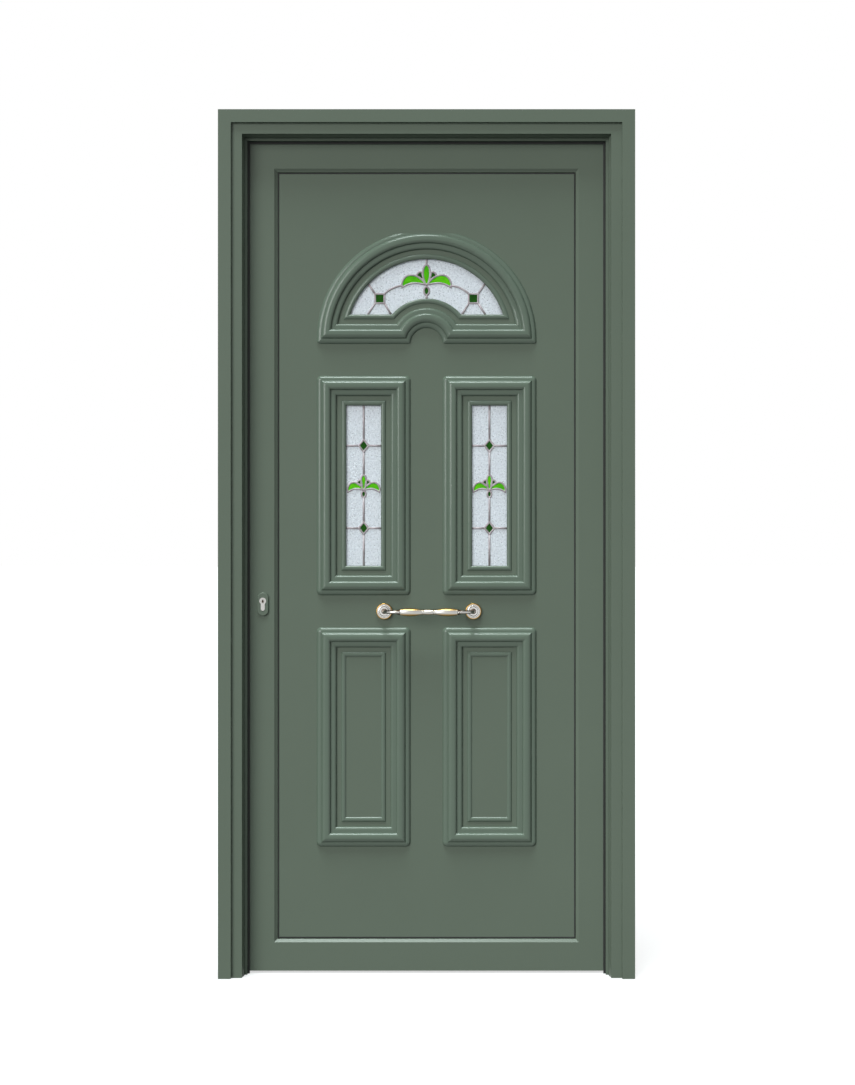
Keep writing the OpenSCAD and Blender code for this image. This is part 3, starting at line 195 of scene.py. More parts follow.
def drawn_metal():
    """Fine lines along one direction, as rolling, drawing or brushing leaves them."""
    group, given, result = new_effect(
        "drawn_metal",
        (
            ("Colour", "NodeSocketColor", (0.6, 0.6, 0.6, 1)),
            ("Line colour", "NodeSocketColor", (0.5, 0.5, 0.5, 1)),
            ("Line scale", "NodeSocketVector", (900.0, 900.0, 12.0)),
            ("Roughness", "NodeSocketFloat", 0.3),
            ("Roughness spread", "NodeSocketFloat", 0.2),
        ),
    )
    place = add_node(group, "ShaderNodeTexCoord").outputs["Object"]
    stretched = add_node(
        group,
        "ShaderNodeVectorMath",
        {0: place, 1: given["Line scale"]},
        operation="MULTIPLY",
    )
    lines = add_node(
        group,
        "ShaderNodeTexNoise",
        {"Vector": stretched.outputs[0], "Scale": 1.0, "Detail": 4.0, "Roughness": 0.65},
    )
    colour = mix_colours(group, lines.outputs["Fac"], given["Colour"], given["Line colour"])
    rough = spread_roughness(group, lines.outputs["Fac"], given)
    group.links.new(colour, result["Colour"])
    group.links.new(rough, result["Roughness"])
    group.links.new(lines.outputs["Fac"], result["Height"])
    return group


METAL = drawn_metal()

mill_aluminium = new_finish(
    "mill_aluminium",
    METAL,
    {
        "Colour": (0.62, 0.62, 0.64, 1),
        "Line colour": (0.5, 0.5, 0.52, 1),
        "Line scale": (700.0, 700.0, 14.0),
        "Roughness": 0.42,
        "Roughness spread": 0.2,
    },
    bump=(0.1, 0.0003),
    Metallic=1.0,
)
give(mill_aluminium, "frame_corner_cleats")

black_rubber = new_finish(
    "black_rubber",
    SKIN,
    {
        "Colour": (0.012, 0.014, 0.012, 1),
        "Second colour": (0.020, 0.022, 0.020, 1),
        "Cloud scale": 18.0,
        "Grain scale": 1400.0,
        "Roughness": 0.66,
        "Roughness spread": 0.16,
    },
    bump=(0.12, 0.0003),
    Specular_IOR_Level=0.3,
)
give(black_rubber, "frame_seal")

zinc_steel = new_finish(
    "zinc_steel",
    METAL,
    {
        "Colour": (0.60, 0.61, 0.63, 1),
        "Line colour": (0.42, 0.43, 0.45, 1),
        "Line scale": (1200.0, 1200.0, 40.0),
        "Roughness": 0.32,
        "Roughness spread": 0.24,
    },
    bump=(0.12, 0.0002),
    Metallic=1.0,
)
give(zinc_steel, "strike_plate", "strike_screws")


# Leaf
# Mitred hollow extrusions on cast cleats, with glazing beads inside, in the frame's coating,
# and a strip of black bristles in the bottom rail's groove.

give(powder_coat, "leaf_stile_lock", "leaf_stile_hinge", "leaf_rail_top", "leaf_rail_bottom")
give(powder_coat, "glazing_bead_top", "glazing_bead_bottom")
give(powder_coat, "glazing_bead_lock", "glazing_bead_hinge")
give(mill_aluminium, "leaf_corner_cleats")

bristles = new_finish(
    "bristles",
    METAL,
    {
        "Colour": (0.03, 0.03, 0.03, 1),
        "Line colour": (0.008, 0.008, 0.008, 1),
        "Line scale": (2600.0, 900.0, 30.0),
        "Roughness": 0.6,
        "Roughness spread": 0.3,
    },
    bump=(0.8, 0.0006),
)
give(bristles, "bottom_brush")


# Panel
# Two coated aluminium sheets on a foam core, held between rubber gaskets. Moulded frames
# of hard polyurethane in the same colour, smoother than the coating, are bonded to both.

moulding_paint = new_finish(
    "moulding_paint",
    SKIN,
    {
        "Colour": (0.105, 0.143, 0.109, 1),
        "Second colour": (0.100, 0.137, 0.104, 1),
        "Cloud scale": 5.0,
        "Grain scale": 900.0,
        "Roughness": 0.19,
        "Roughness spread": 0.03,
    },
    bump=(0.01, 0.0001),
    Specular_IOR_Level=0.26,
)
give(powder_coat, "panel_skin_outer", "panel_skin_inner")
give(moulding_paint, "mouldings_outer", "mouldings_inner")
give(black_rubber, "panel_gasket_outer", "panel_gasket_inner")

core_foam = new_finish(
    "core_foam",
    SKIN,
    {
        "Colour": (0.78, 0.68, 0.38, 1),
        "Second colour": (0.70, 0.60, 0.32, 1),
        "Cloud scale": 30.0,
        "Grain scale": 900.0,
        "Roughness": 0.9,
        "Roughness spread": 0.1,
    },
    bump=(0.5, 0.0008),
)
give(core_foam, "panel_core")


# Glass units
# Each has an outer pane with a fine rolled stipple, a spacer bar and a clear inner pane.

stippled_glass = new_finish(
    "stippled_glass",
    SKIN,
    {
        "Colour": (0.88, 0.93, 0.98, 1),
        "Second colour": (0.55, 0.60, 0.65, 1),
        "Cloud scale": 200.0,
        "Grain scale": 260.0,
        "Roughness": 0.3,
        "Roughness spread": 0.2,
    },
    bump=(0.6, 0.0015),
    Transmission_Weight=0.4,
    IOR=1.5,
)
give(stippled_glass, "fanlight_pane_outer", "left_pane_outer", "right_pane_outer")

float_glass = new_finish(
    "float_glass",
    SKIN,
    {
        "Colour": (0.93, 0.97, 0.96, 1),
        "Second colour": (0.92, 0.96, 0.95, 1),
        "Cloud scale": 2.0,
        "Grain scale": 6.0,
        "Roughness": 0.02,
        "Roughness spread": 0.01,
    },
    bump=(0.02, 0.0002),
    Transmission_Weight=1.0,
    IOR=1.5,
)
give(float_glass, "fanlight_pane_inner", "left_pane_inner", "right_pane_inner")
give(mill_aluminium, "glass_spacers")


# Leading
# Soft half-round lead cames run over the outer pane, soldered where they meet, and hold
# pieces of streaky green glass whose cut edges are melted round.

lead = new_finish(
    "lead",
    SKIN,
    {
        "Colour": (0.44, 0.40, 0.42, 1),
        "Second colour": (0.25, 0.22, 0.23, 1),
        "Cloud scale": 60.0,
        "Grain scale": 700.0,
        "Roughness": 0.3,
        "Roughness spread": 0.2,
    },
    bump=(0.25, 0.0003),
    Metallic=0.1,
    Specular_IOR_Level=0.3,
)

CAME_WIDTH = 0.0054
BORDER_WIDTH = 0.0048
CAME_HEIGHT = 0.0026
CAME_FACETS = 6
LEAST_TURN = 0.2
LEAST_MITRE = 0.625
SOLDER_RADIUS = 0.0034
SOLDER_HEIGHT = CAME_HEIGHT * 1.15
SOLDER_TILTS = (0.0, 0.45, 0.9, 1.3)
SOLDER_SIDES = 12
CURVE_STEPS = 8

# Outlines of the glass pieces, as rings of cubic curves, in millimetres from where they meet.
LEAVES = {
    "middle_leaf": (
        ((0, 0), (10, 20), (8, 44), (0, 49)),
        ((0, 49), (-8, 44), (-10, 20), (0, 0)),
    ),
    "side_leaf": (
        ((5.5, 2.5), (14, 12), (26, 22), (39, 22)),
        ((39, 22), (52, 22), (60, 12), (61.4, -5)),
        ((61.4, -5), (46, 8), (26, 9), (5.5, 2.5)),
    ),
    "side_bud": (
        ((9.5, 14), (13, 18), (18, 21), (23, 22.8)),
        ((23, 22.8), (21, 28), (17, 31), (12, 30)),
    ),
    "low_bud": (
        ((0, -7.6), (6, -11), (6, -21), (0, -25)),
        ((0, -25), (-6, -21), (-6, -11), (0, -7.6)),
    ),
}


def bezier(corners, t):
    """A point of a cubic curve, from millimetres to metres."""
    weights = ((1 - t) ** 3, 3 * (1 - t) ** 2 * t, 3 * (1 - t) * t**2, t**3)
    x, z = (sum(w * corner[i] for w, corner in zip(weights, corners)) for i in (0, 1))
    return Vector((x, z)) / 1000


def came(bm, path, width, closed=False, face=None):
    """A half-round strip along a path, on the outer panes' face unless another is given."""
    face = pane_face if face is None else face
    count = len(path)
    rings = []
    for i, point in enumerate(path):
        before = path[i - 1] if closed or i else point
        after = path[(i + 1) % count] if closed or i < count - 1 else point
        first = (point - before).normalized() if point != before else (after - point).normalized()
        second = (after - point).normalized() if point != after else first
        along = first + second if (first + second).length > LEAST_TURN else first
        along.normalize()
        across = Vector((-along.y, along.x)) / max(along.dot(first), LEAST_MITRE)
        ring = []
        for k in range(CAME_FACETS + 1):
            angle = math.pi * k / CAME_FACETS
            side = point + across * (math.cos(angle) * width / 2)
            ring.append(bm.verts.new((side.x, face - math.sin(angle) * CAME_HEIGHT, side.y)))
        rings.append(ring)
    for i in range(count if closed else count - 1):
        near, far = rings[i], rings[(i + 1) % count]
        for k in range(CAME_FACETS):
            bm.faces.new((near[k], near[k + 1], far[k + 1], far[k]))
    if not closed:
        bm.faces.new(rings[0][::-1])
        bm.faces.new(rings[-1])


def solder(bm, at):
    """A flat round drop of solder where cames meet."""
    rows = []
    for tilt in SOLDER_TILTS:
        radius = SOLDER_RADIUS * math.cos(tilt)
        y = pane_face - SOLDER_HEIGHT * math.sin(tilt)
        turns = [math.tau * k / SOLDER_SIDES for k in range(SOLDER_SIDES)]
        rows.append(
            [
                bm.verts.new((at.x + radius * math.cos(a), y, at.y + radius * math.sin(a)))
                for a in turns
            ]
        )
    for near, far in zip(rows, rows[1:]):
        for k in range(SOLDER_SIDES):
            following = (k + 1) % SOLDER_SIDES
            bm.faces.new((near[k], near[following], far[following], far[k]))
    bm.faces.new(rows[-1])


def border(bm, outline, middle, stretch, mirrored):
    """The came round one coloured piece, its middle line half its width outside the glass."""
    flip = -1 if mirrored else 1
    points = [Vector((flip * p.x * stretch[0], p.y * stretch[1])) + middle for p in outline]
    area = sum(a.x * b.y - b.x * a.y for a, b in zip(points, points[1:] + points[:1]))
    side = math.copysign(BORDER_WIDTH / 2, area)
    path = []
    for before, point, after in zip(points[-1:] + points[:-1], points, points[1:] + points[:1]):
        along = (after - before).normalized()
        path.append(point + Vector((along.y, -along.x)) * side)
    came(bm, path, BORDER_WIDTH, closed=True)


def leaf_borders(bm, middle, stretch):
    """Cames round the three leaves and three buds that meet at middle."""
    for name, curves in LEAVES.items():
        outline = [bezier(c, i / CURVE_STEPS) for c in curves for i in range(CURVE_STEPS)]
        border(bm, outline, middle, stretch, False)
        if name.startswith("side"):
            border(bm, outline, middle, stretch, True)
    solder(bm, middle)


def leaf_piece(bm, name, material):
    """Turns drawn strips into one smooth piece that rides on the leaf."""
    mesh = bpy.data.meshes.new(name)
    bmesh.ops.recalc_face_normals(bm, faces=bm.faces)
    bm.to_mesh(mesh)
    bm.free()
    mesh.shade_smooth()
    piece = bpy.data.objects.new(name, mesh)
    bpy.context.scene.collection.objects.link(piece)
    mesh.materials.append(material)
    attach(piece, "leaf")
    return piece


def to_edge(inside, start, end):
    """The last point before end that still lies on the glass."""
    low, high = 0.0, 1.0
    for _ in range(24):
        middle = (low + high) / 2
        if inside(start.lerp(end, middle)):
            low = middle
        else:
            high = middle
    return start.lerp(end, low)


pane_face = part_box("fanlight_pane_outer")[0].y

# The fanlight's visible glass and its pattern, from the middle of the moulding's base line.
ARCH_RADIUS = 0.204
ARCH_RISE = 0.012
NOTCH_RADIUS = 0.1155
BASE_RISE = 0.075
PANE_LAP = 0.010
LEAF_RISE = 0.1515
SQUARE_MIDDLE = Vector((-0.119, 0.116))
SQUARE_HALF = 0.0095
SQUARE_TIES = {(-1, -1): (-0.022, -0.034), (1, -1): (0.020, -0.034), (-1, 1): (-0.034, 0.050)}
SWEEP = ((-98, 137.5), (-80, 147.5), (-62, 149))
SWEEP_END = Vector((-0.0625, 0.1485))
TOP_TIE = (Vector((0, 0.2015)), Vector((0, 0.25)))
FOOT_TIE = (Vector((0, 0.1255)), Vector((0, 0.09)))
fan_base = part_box("fanlight_pane_outer")[0].z + PANE_LAP - BASE_RISE


def on_fan_glass(point):
    """Whether a point, measured from the middle of the fanlight's base line, lies on the glass."""
    in_arch = (point - Vector((0, ARCH_RISE))).length < ARCH_RADIUS
    return in_arch and point.length > NOTCH_RADIUS and point.y > BASE_RISE


def fan_lead():
    """The fanlight's cames: leaves, squares, and the lines that tie them to the edge."""
    bm = bmesh.new()
    base = Vector((0, fan_base))
    half = SQUARE_HALF + BORDER_WIDTH / 2
    for flip in (1, -1):
        def put(point):
            return Vector((point.x * flip, point.y)) + base

        corner = {
            (i, j): SQUARE_MIDDLE + Vector((i * half, j * half)) for i in (-1, 1) for j in (-1, 1)
        }
        ring = [put(corner[key]) for key in ((-1, -1), (1, -1), (1, 1), (-1, 1))]
        came(bm, ring, BORDER_WIDTH, closed=True)
        for key, away in SQUARE_TIES.items():
            start = corner[key]
            end = to_edge(on_fan_glass, start, start + Vector(away))
            came(bm, [put(start), put(end)], CAME_WIDTH)
        sweep = (tuple(corner[1, 1] * 1000), *SWEEP)
        came(bm, [put(bezier(sweep, i / CURVE_STEPS)) for i in range(CURVE_STEPS + 1)], CAME_WIDTH)
        for point in ring:
            solder(bm, point)
        solder(bm, put(SWEEP_END))
    for start, end in (TOP_TIE, FOOT_TIE):
        came(bm, [start + base, to_edge(on_fan_glass, start, end) + base], CAME_WIDTH)
    leaf_borders(bm, Vector((0, LEAF_RISE)) + base, (1, 1))
    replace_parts(leaf_piece(bm, "fanlight_lead", lead), "fanlight_cames")


# A side light's pattern, from the middle of its glass.
SIDE_STRETCH = (0.64, 0.72)
SIDE_LEAF_DROP = 0.010
LEAF_TOP = 0.050 * SIDE_STRETCH[1] - SIDE_LEAF_DROP
LEAF_FOOT = -0.026 * SIDE_STRETCH[1] - SIDE_LEAF_DROP
DIAMOND = (0.009, 0.012)
DIAMOND_HEIGHTS = (0.1015, -0.108)
DIAMOND_RIM = BORDER_WIDTH * 0.75
DIAMOND_TIP = DIAMOND[1] + BORDER_WIDTH * 0.8
DIAMOND_EAR = DIAMOND[0] + BORDER_WIDTH * 0.6
LIGHT_HALF = (0.04425, 0.2035)


def side_lead():
    """Both side lights' cames: a cross line at each diamond, an upright, leaves in the middle."""
    bm = bmesh.new()
    for node in ("left_pane_outer", "right_pane_outer"):
        low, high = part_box(node)
        middle = Vector(((low.x + high.x) / 2, (low.z + high.z) / 2))
        upper, lower = DIAMOND_HEIGHTS
        uprights = (
            (-LIGHT_HALF[1], lower - DIAMOND_TIP),
            (lower + DIAMOND_TIP, LEAF_FOOT),
            (LEAF_TOP, upper - DIAMOND_TIP),
            (upper + DIAMOND_TIP, LIGHT_HALF[1]),
        )
        for foot, head in uprights:
            came(bm, [middle + Vector((0, foot)), middle + Vector((0, head))], CAME_WIDTH)
        for height in DIAMOND_HEIGHTS:
            at = middle + Vector((0, height))
            for flip in (-1, 1):
                inner, outer = Vector((flip * DIAMOND_EAR, 0)), Vector((flip * LIGHT_HALF[0], 0))
                came(bm, [at + inner, at + outer], CAME_WIDTH)
            half_w, half_h = (size + DIAMOND_RIM for size in DIAMOND)
            ring = [at + Vector(p) for p in ((half_w, 0), (0, half_h), (-half_w, 0), (0, -half_h))]
            came(bm, ring, BORDER_WIDTH, closed=True)
            for point in ring:
                solder(bm, point)
        leaf_borders(bm, middle - Vector((0, SIDE_LEAF_DROP)), SIDE_STRETCH)
    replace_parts(leaf_piece(bm, "side_light_lead", lead), "side_cames")


fan_lead()
side_lead()

SAME_PLANE = math.radians(4)
CUT_EDGE = math.radians(50)
MELT_WIDTH = 0.0009
MELT_STEPS = 3

for name in ("fanlight_leaves", "side_leaves", "fanlight_buds", "side_buds"):
    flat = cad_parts[name].modifiers.new("one face each side", "DECIMATE")
    flat.decimate_type = "DISSOLVE"
    flat.angle_limit = SAME_PLANE
    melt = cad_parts[name].modifiers.new("melted edge", "BEVEL")
    melt.width = MELT_WIDTH
    melt.segments = MELT_STEPS
    melt.limit_method = "ANGLE"
    melt.angle_limit = CUT_EDGE

leaf_glass = new_finish(
    "leaf_glass",
    SKIN,
    {
        "Colour": (0.13, 0.62, 0.002, 1),
        "Second colour": (0.05, 0.40, 0.001, 1),
        "Cloud scale": 40.0,
        "Grain scale": 300.0,
        "Roughness": 0.16,
        "Roughness spread": 0.1,
    },
    bump=(0.3, 0.0004),
    Transmission_Weight=0.1,
    IOR=1.5,
    Specular_IOR_Level=0.1,
)
give(leaf_glass, "fanlight_leaves", "side_leaves")

bud_glass = new_finish(
    "bud_glass",
    SKIN,
    {
        "Colour": (0.012, 0.11, 0.001, 1),
        "Second colour": (0.003, 0.04, 0.0005, 1),
        "Cloud scale": 90.0,
        "Grain scale": 300.0,
        "Roughness": 0.16,
        "Roughness spread": 0.1,
    },
    bump=(0.3, 0.0004),
    Transmission_Weight=0.1,
    IOR=1.5,
    Specular_IOR_Level=0.1,
)
give(bud_glass, "fanlight_buds", "side_buds")


# Sight-line lip, a painted shadow line
# A thin black rubber lip in one ring with cut corners. It is pushed in last, between the leaf's
# profiles and the panel's outer sheet. Its black is painted shade: it stands for the shadow
# of the step where the leaf's profiles meet the panel.

SHADE_LIP_WIDTH = 0.0036
SHADE_LIP_HALF = 0.378 - SHADE_LIP_WIDTH / 2
SHADE_LIP_LOW = 0.0855 + SHADE_LIP_WIDTH / 2
SHADE_LIP_HIGH = 2.029 - SHADE_LIP_WIDTH / 2

shade_lip_corners = (
    (-SHADE_LIP_HALF, SHADE_LIP_LOW), (SHADE_LIP_HALF, SHADE_LIP_LOW), (SHADE_LIP_HALF, SHADE_LIP_HIGH), (-SHADE_LIP_HALF, SHADE_LIP_HIGH)
)
shade_lip_mesh = bmesh.new()
came(
    shade_lip_mesh,
    [Vector(corner) for corner in shade_lip_corners],
    SHADE_LIP_WIDTH,
    closed=True,
    face=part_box("panel_skin_outer")[0].y,
)
leaf_piece(shade_lip_mesh, "sight_line_shade_lip", black_rubber)


# Lock and lever
# A zinc-plated mortice lock, screwed into the stile, with a pearl nickel cylinder whose
# keyhole's shade is painted as a dark spot on the plug. Escutcheons and rose are coated as the
# door is, the lever is satin nickel.

pearl_nickel = new_finish(
    "pearl_nickel",
    METAL,
    {
        "Colour": (0.58, 0.57, 0.55, 1),
        "Line colour": (0.38, 0.36, 0.35, 1),
        "Line scale": (900.0, 40.0, 900.0),
        "Roughness": 0.22,
        "Roughness spread": 0.12,
    },
    bump=(0.08, 0.0002),
    Metallic=1.0,
)
give(pearl_nickel, "cylinder_body")
give(powder_coat, "escutcheons", "lever_rose")
give(zinc_steel, "lock_case", "lock_forend", "latch_bolt", "dead_bolt", "lever_spindle")


def painted_light_bands():
    """Metal in bands of painted light by distance from an axis: pearl, standing partly for
    highlights, gilt far from the axis for darker painted reflections, and painted shade close to it.
    Half span folds two axes into one.
    """
    group, given, result = new_effect(
        "painted_light_bands",
        (
            ("Colour", "NodeSocketColor", (0.8, 0.8, 0.8, 1)),
            ("Edge colour", "NodeSocketColor", (0.6, 0.4, 0.1, 1)),
            ("Heart colour", "NodeSocketColor", (0.2, 0.1, 0.1, 1)),
            ("Middle", "NodeSocketVector", (0.0, 0.0, 0.0)),
            ("Half span", "NodeSocketFloat", 0.0),
            ("Across", "NodeSocketVector", (1.0, 0.0, 1.0)),
            ("Heart start", "NodeSocketFloat", 0.0),
            ("Heart end", "NodeSocketFloat", 0.006),
            ("Edge start", "NodeSocketFloat", 0.016),
            ("Edge end", "NodeSocketFloat", 0.018),
            ("Roughness", "NodeSocketFloat", 0.2),
            ("Roughness spread", "NodeSocketFloat", 0.1),
        ),
    )
    place = add_node(group, "ShaderNodeTexCoord").outputs["Object"]
    vector_step = "ShaderNodeVectorMath"
    shifted = add_node(group, vector_step, {0: place, 1: given["Middle"]}, operation="SUBTRACT")
    folded = add_node(group, vector_step, {0: shifted.outputs[0]}, operation="ABSOLUTE")
    span = add_node(group, "ShaderNodeCombineXYZ", {"X": given["Half span"]})
    from_axis = add_node(
        group, vector_step, {0: folded.outputs[0], 1: span.outputs[0]}, operation="SUBTRACT"
    )
    across = add_node(
        group, vector_step, {0: from_axis.outputs[0], 1: given["Across"]}, operation="MULTIPLY"
    )
    length = add_node(group, vector_step, {0: across.outputs[0]}, operation="LENGTH")
    radius = length.outputs["Value"]
    # The far band paints darker reflections along the metal's edges, the near band paints shade.
    gilt = add_node(
        group,
        "ShaderNodeMapRange",
        {"Value": radius, "From Min": given["Edge start"], "From Max": given["Edge end"]},
    )
    heart = add_node(
        group,
        "ShaderNodeMapRange",
        {"Value": radius, "From Min": given["Heart start"], "From Max": given["Heart end"]},
        interpolation_type="SMOOTHSTEP",
    )
    plated = mix_colours(group, gilt.outputs["Result"], given["Colour"], given["Edge colour"])
    colour = mix_colours(group, heart.outputs["Result"], given["Heart colour"], plated)
    polish = add_node(
        group,
        "ShaderNodeTexNoise",
        {"Vector": place, "Scale": 600.0, "Detail": 3.0, "Roughness": 0.6},
    )
    rough = spread_roughness(group, polish.outputs["Fac"], given)
    group.links.new(colour, result["Colour"])
    group.links.new(rough, result["Roughness"])
    group.links.new(polish.outputs["Fac"], result["Height"])
    return group


PAINTED_LIGHT_BANDS = painted_light_bands()
# Colours of painted light on the metal: the pearl is the plug's own nickel and a painted highlight
# on the grips and arms, the dish colour a painted reflection of the white surround, the gilt gold
# darkened as painted reflection, and the dark gilt painted shade and dark reflection.
PEARL_AND_PAINTED_HIGHLIGHT = (0.44, 0.43, 0.41, 1)
PAINTED_DISH_REFLECTION = (0.64, 0.63, 0.61, 1)
GILT_AND_PAINTED_REFLECTION = (0.34, 0.20, 0.05, 1)
PAINTED_SHADE_AND_REFLECTION_GILT = (0.07, 0.04, 0.02, 1)

PLUG_RADIUS = 0.0075
plug_low, plug_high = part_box("cylinder_plug")
# The keyway's shade is painted: the plug's nickel turns dark round the keyhole.
keyhole = Vector(((plug_low.x + plug_high.x) / 2, 0, plug_high.z - PLUG_RADIUS))
painted_keyhole_shade = new_finish(
    "painted_keyhole_shade",
    PAINTED_LIGHT_BANDS,
    {
        "Colour": PEARL_AND_PAINTED_HIGHLIGHT,
        "Edge colour": PEARL_AND_PAINTED_HIGHLIGHT,
        "Heart colour": PAINTED_SHADE_AND_REFLECTION_GILT,
        "Middle": keyhole,
        "Half span": 0.0,
        "Across": (1.0, 0.0, 0.7),
        "Heart start": 0.0015,
        "Heart end": 0.0035,
        "Edge start": 0.01,
        "Edge end": 0.02,
        "Roughness": 0.2,
        "Roughness spread": 0.1,
    },
    bump=(0.04, 0.0002),
    Metallic=1.0,
)
give(painted_keyhole_shade, "cylinder_plug")

satin_nickel = new_finish(
    "satin_nickel",
    METAL,
    {
        "Colour": (0.74, 0.72, 0.68, 1),
        "Line colour": (0.62, 0.60, 0.56, 1),
        "Line scale": (40.0, 1300.0, 1300.0),
        "Roughness": 0.24,
        "Roughness spread": 0.12,
    },
    bump=(0.06, 0.0002),
    Metallic=1.0,
)
give(satin_nickel, "lever_handle")


# Pull handle
# Turned pearl nickel rosettes, grips and middle piece with gold edges, and bent arms with
# dark sides. The colours are bands of painted light: the pearl stands partly for highlights and
# white reflections, the gold edges are darkened as painted reflections, the rosettes' middles
# hold painted shade and the arms' dark sides are painted dark reflections. Two pearl nickel
# bolts through the panel hold it.

rosettes_low, rosettes_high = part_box("pull_rosettes")
rosette_middle = (rosettes_low + rosettes_high) / 2
rosette_radius = (rosettes_high.z - rosettes_low.z) / 2
rosette_span = (rosettes_high.x - rosettes_low.x) / 2 - rosette_radius
# The rosettes' pale dish is a painted reflection of the white surround, the gold rim is darkened as
# painted reflection, and the dark middle is painted shade where the arm meets it.
rosette_painted_light = new_finish(
    "rosette_painted_light",
    PAINTED_LIGHT_BANDS,
    {
        "Colour": PAINTED_DISH_REFLECTION,
        "Edge colour": GILT_AND_PAINTED_REFLECTION,
        "Heart colour": PAINTED_SHADE_AND_REFLECTION_GILT,
        "Middle": rosette_middle,
        "Half span": rosette_span,
        "Across": (1.0, 0.0, 1.0),
        "Heart start": 0.005,
        "Heart end": 0.009,
        "Edge start": 0.0165,
        "Edge end": 0.0185,
        "Roughness": 0.24,
        "Roughness spread": 0.1,
    },
    bump=(0.04, 0.0002),
    Metallic=1.0,
)
give(rosette_painted_light, "pull_rosettes")

grip_middle = sum(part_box("pull_grips"), Vector()) / 2
# The grips' and knob's pearl middle is a painted highlight and white reflection, and their gold top
# and bottom are darkened as painted reflection of the panel.
grip_painted_light = new_finish(
    "grip_painted_light",
    PAINTED_LIGHT_BANDS,
    {
        "Colour": PEARL_AND_PAINTED_HIGHLIGHT,
        "Edge colour": GILT_AND_PAINTED_REFLECTION,
        "Heart colour": PEARL_AND_PAINTED_HIGHLIGHT,
        "Middle": grip_middle,
        "Half span": 0.0,
        "Across": (0.0, 0.0, 1.0),
        "Heart end": 0.001,
        "Edge start": 0.0026,
        "Edge end": 0.0064,
        "Roughness": 0.3,
        "Roughness spread": 0.1,
    },
    bump=(0.04, 0.0002),
    Metallic=1.0,
)
give(grip_painted_light, "pull_grips", "pull_knob")

# The arms turn dark above and below the grips' axis height: painted dark reflections along their
# sides over a pearl painted highlight.
arm_painted_reflection = new_finish(
    "arm_painted_reflection",
    PAINTED_LIGHT_BANDS,
    {
        "Colour": PEARL_AND_PAINTED_HIGHLIGHT,
        "Edge colour": PAINTED_SHADE_AND_REFLECTION_GILT,
        "Heart colour": PEARL_AND_PAINTED_HIGHLIGHT,
        "Middle": grip_middle,
        "Half span": 0.0,
        "Across": (0.0, 0.0, 1.0),
        "Heart end": 0.001,
        "Edge start": 0.001,
        "Edge end": 0.0035,
        "Roughness": 0.2,
        "Roughness spread": 0.1,
    },
    bump=(0.04, 0.0002),
    Metallic=1.0,
)
give(arm_painted_reflection, "pull_arms")
give(pearl_nickel, "pull_bolts")


# Hinges
# Three surface hinges with coated wings and barrels, steel pins and steel screws.

give(powder_coat, "hinge_frame_wings", "hinge_leaf_wings")
give(zinc_steel, "hinge_pins", "hinge_frame_screws", "leaf_screws")


# Floor and light
# A plain pale floor, a white surround and three soft lamps: one in front on the left, a
# cool one high above that draws the mouldings, and one for the inner side.
# The surround is white to the eye, in gloss and through glass, and dimmer as a lamp.

FLOOR_SIDE = 120.0
FLOOR_COLOUR = (0.86, 0.86, 0.86, 1)
FLOOR_BOUNCE = (0.10, 0.10, 0.10, 1)
FLOOR_GLOW = 0.62
SURROUND_FILL = 0.27
LAMPS = {
    "key_lamp": {
        "from": (-0.6, -0.85, 0.3),
        "strength": 2.2,
        "softness": 36.0,
        "colour": (1.0, 1.0, 1.0),
    },
    "high_lamp": {
        "from": (-0.1, -0.25, 1.0),
        "strength": 3.4,
        "softness": 24.0,
        "colour": (0.9, 1.0, 1.0),
    },
    "inner_lamp": {
        "from": (0.5, 0.9, 0.5),
        "strength": 2.6,
        "softness": 40.0,
        "colour": (1.0, 1.0, 1.0),
    },
}


def seen_directly(tree):
    """1 for what the camera, gloss and glass see, and 0 for light that only falls on things."""
    path = add_node(tree, "ShaderNodeLightPath").outputs
    gloss = add_node(
        tree,
        "ShaderNodeMath",
        {0: path["Is Camera Ray"], 1: path["Is Glossy Ray"]},
        operation="MAXIMUM",
    )
    both = add_node(
        tree,
        "ShaderNodeMath",
        {0: gloss.outputs[0], 1: path["Is Transmission Ray"]},
        operation="MAXIMUM",
    )
    return both.outputs[0]


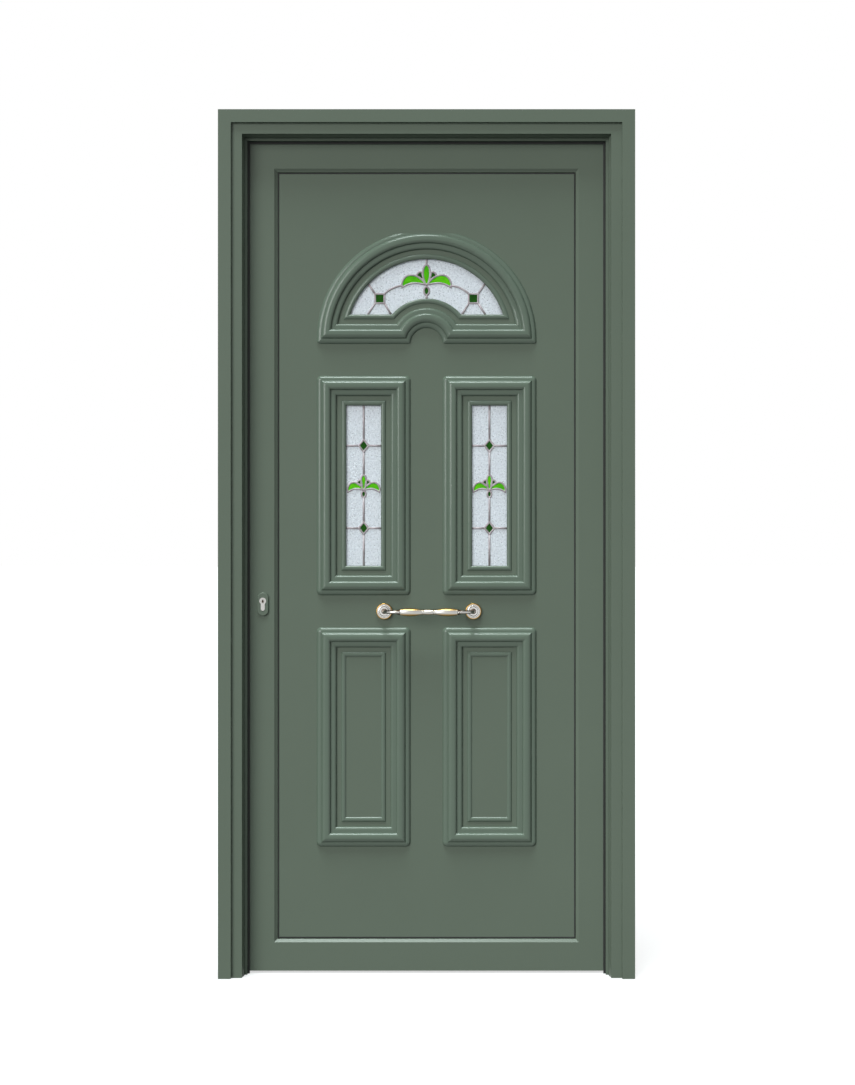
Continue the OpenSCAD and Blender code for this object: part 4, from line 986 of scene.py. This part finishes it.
floor_mesh = bpy.data.meshes.new("floor")
half = FLOOR_SIDE / 2
floor_mesh.from_pydata(
    [(-half, -half, 0), (half, -half, 0), (half, half, 0), (-half, half, 0)], [], [(0, 1, 2, 3)]
)
floor = bpy.data.objects.new("floor", floor_mesh)
bpy.context.scene.collection.objects.link(floor)
floor_material = bpy.data.materials.new("pale_floor")
floor_material.use_nodes = True
tree = floor_material.node_tree
tree.nodes.clear()
pale = add_node(tree, "ShaderNodeBsdfDiffuse", {"Color": FLOOR_COLOUR})
glow = add_node(tree, "ShaderNodeEmission", {"Color": (1, 1, 1, 1), "Strength": 1.0})
lit = {0: FLOOR_GLOW, 1: pale.outputs[0], 2: glow.outputs[0]}
bright = add_node(tree, "ShaderNodeMixShader", lit)
dim = add_node(tree, "ShaderNodeBsdfDiffuse", {"Color": FLOOR_BOUNCE})
seen = {0: seen_directly(tree), 1: dim.outputs[0], 2: bright.outputs[0]}
mixed = add_node(tree, "ShaderNodeMixShader", seen)
add_node(tree, "ShaderNodeOutputMaterial", {"Surface": mixed.outputs[0]})
floor_mesh.materials.append(floor_material)

world = bpy.data.worlds.new("white_surround")
world.use_nodes = True
bpy.context.scene.world = world
tree = world.node_tree
level = add_node(
    tree,
    "ShaderNodeMapRange",
    {"Value": seen_directly(tree), "To Min": SURROUND_FILL, "To Max": 1.0},
)
background = tree.nodes["Background"]
background.inputs["Color"].default_value = (1, 1, 1, 1)
tree.links.new(level.outputs["Result"], background.inputs["Strength"])

for name, lamp in LAMPS.items():
    lamp_data = bpy.data.lights.new(name, "SUN")
    lamp_data.energy = lamp["strength"]
    lamp_data.angle = math.radians(lamp["softness"])
    lamp_data.color = lamp["colour"]
    lamp_object = bpy.data.objects.new(name, lamp_data)
    lamp_object.rotation_euler = Vector(lamp["from"]).to_track_quat("Z", "Y").to_euler()
    bpy.context.scene.collection.objects.link(lamp_object)


# Camera
# Straight in front of the door, a little over a metre high, three and a half metres away.

CAMERA_AT = (0.0024, -3.650, 1.090)
VIEW_HEIGHT_AT_FRONT = 2.709
FRONT_DISTANCE = 3.570
SENSOR_HEIGHT = 24.0

camera_data = bpy.data.cameras.new("camera")
camera_data.sensor_fit = "VERTICAL"
camera_data.sensor_height = SENSOR_HEIGHT
camera_data.lens = SENSOR_HEIGHT * FRONT_DISTANCE / VIEW_HEIGHT_AT_FRONT
camera = bpy.data.objects.new("camera", camera_data)
camera.location = CAMERA_AT
camera.rotation_euler = (math.radians(90), 0, 0)
bpy.context.scene.collection.objects.link(camera)
bpy.context.scene.camera = camera
bpy.context.scene.view_settings.view_transform = "Standard"
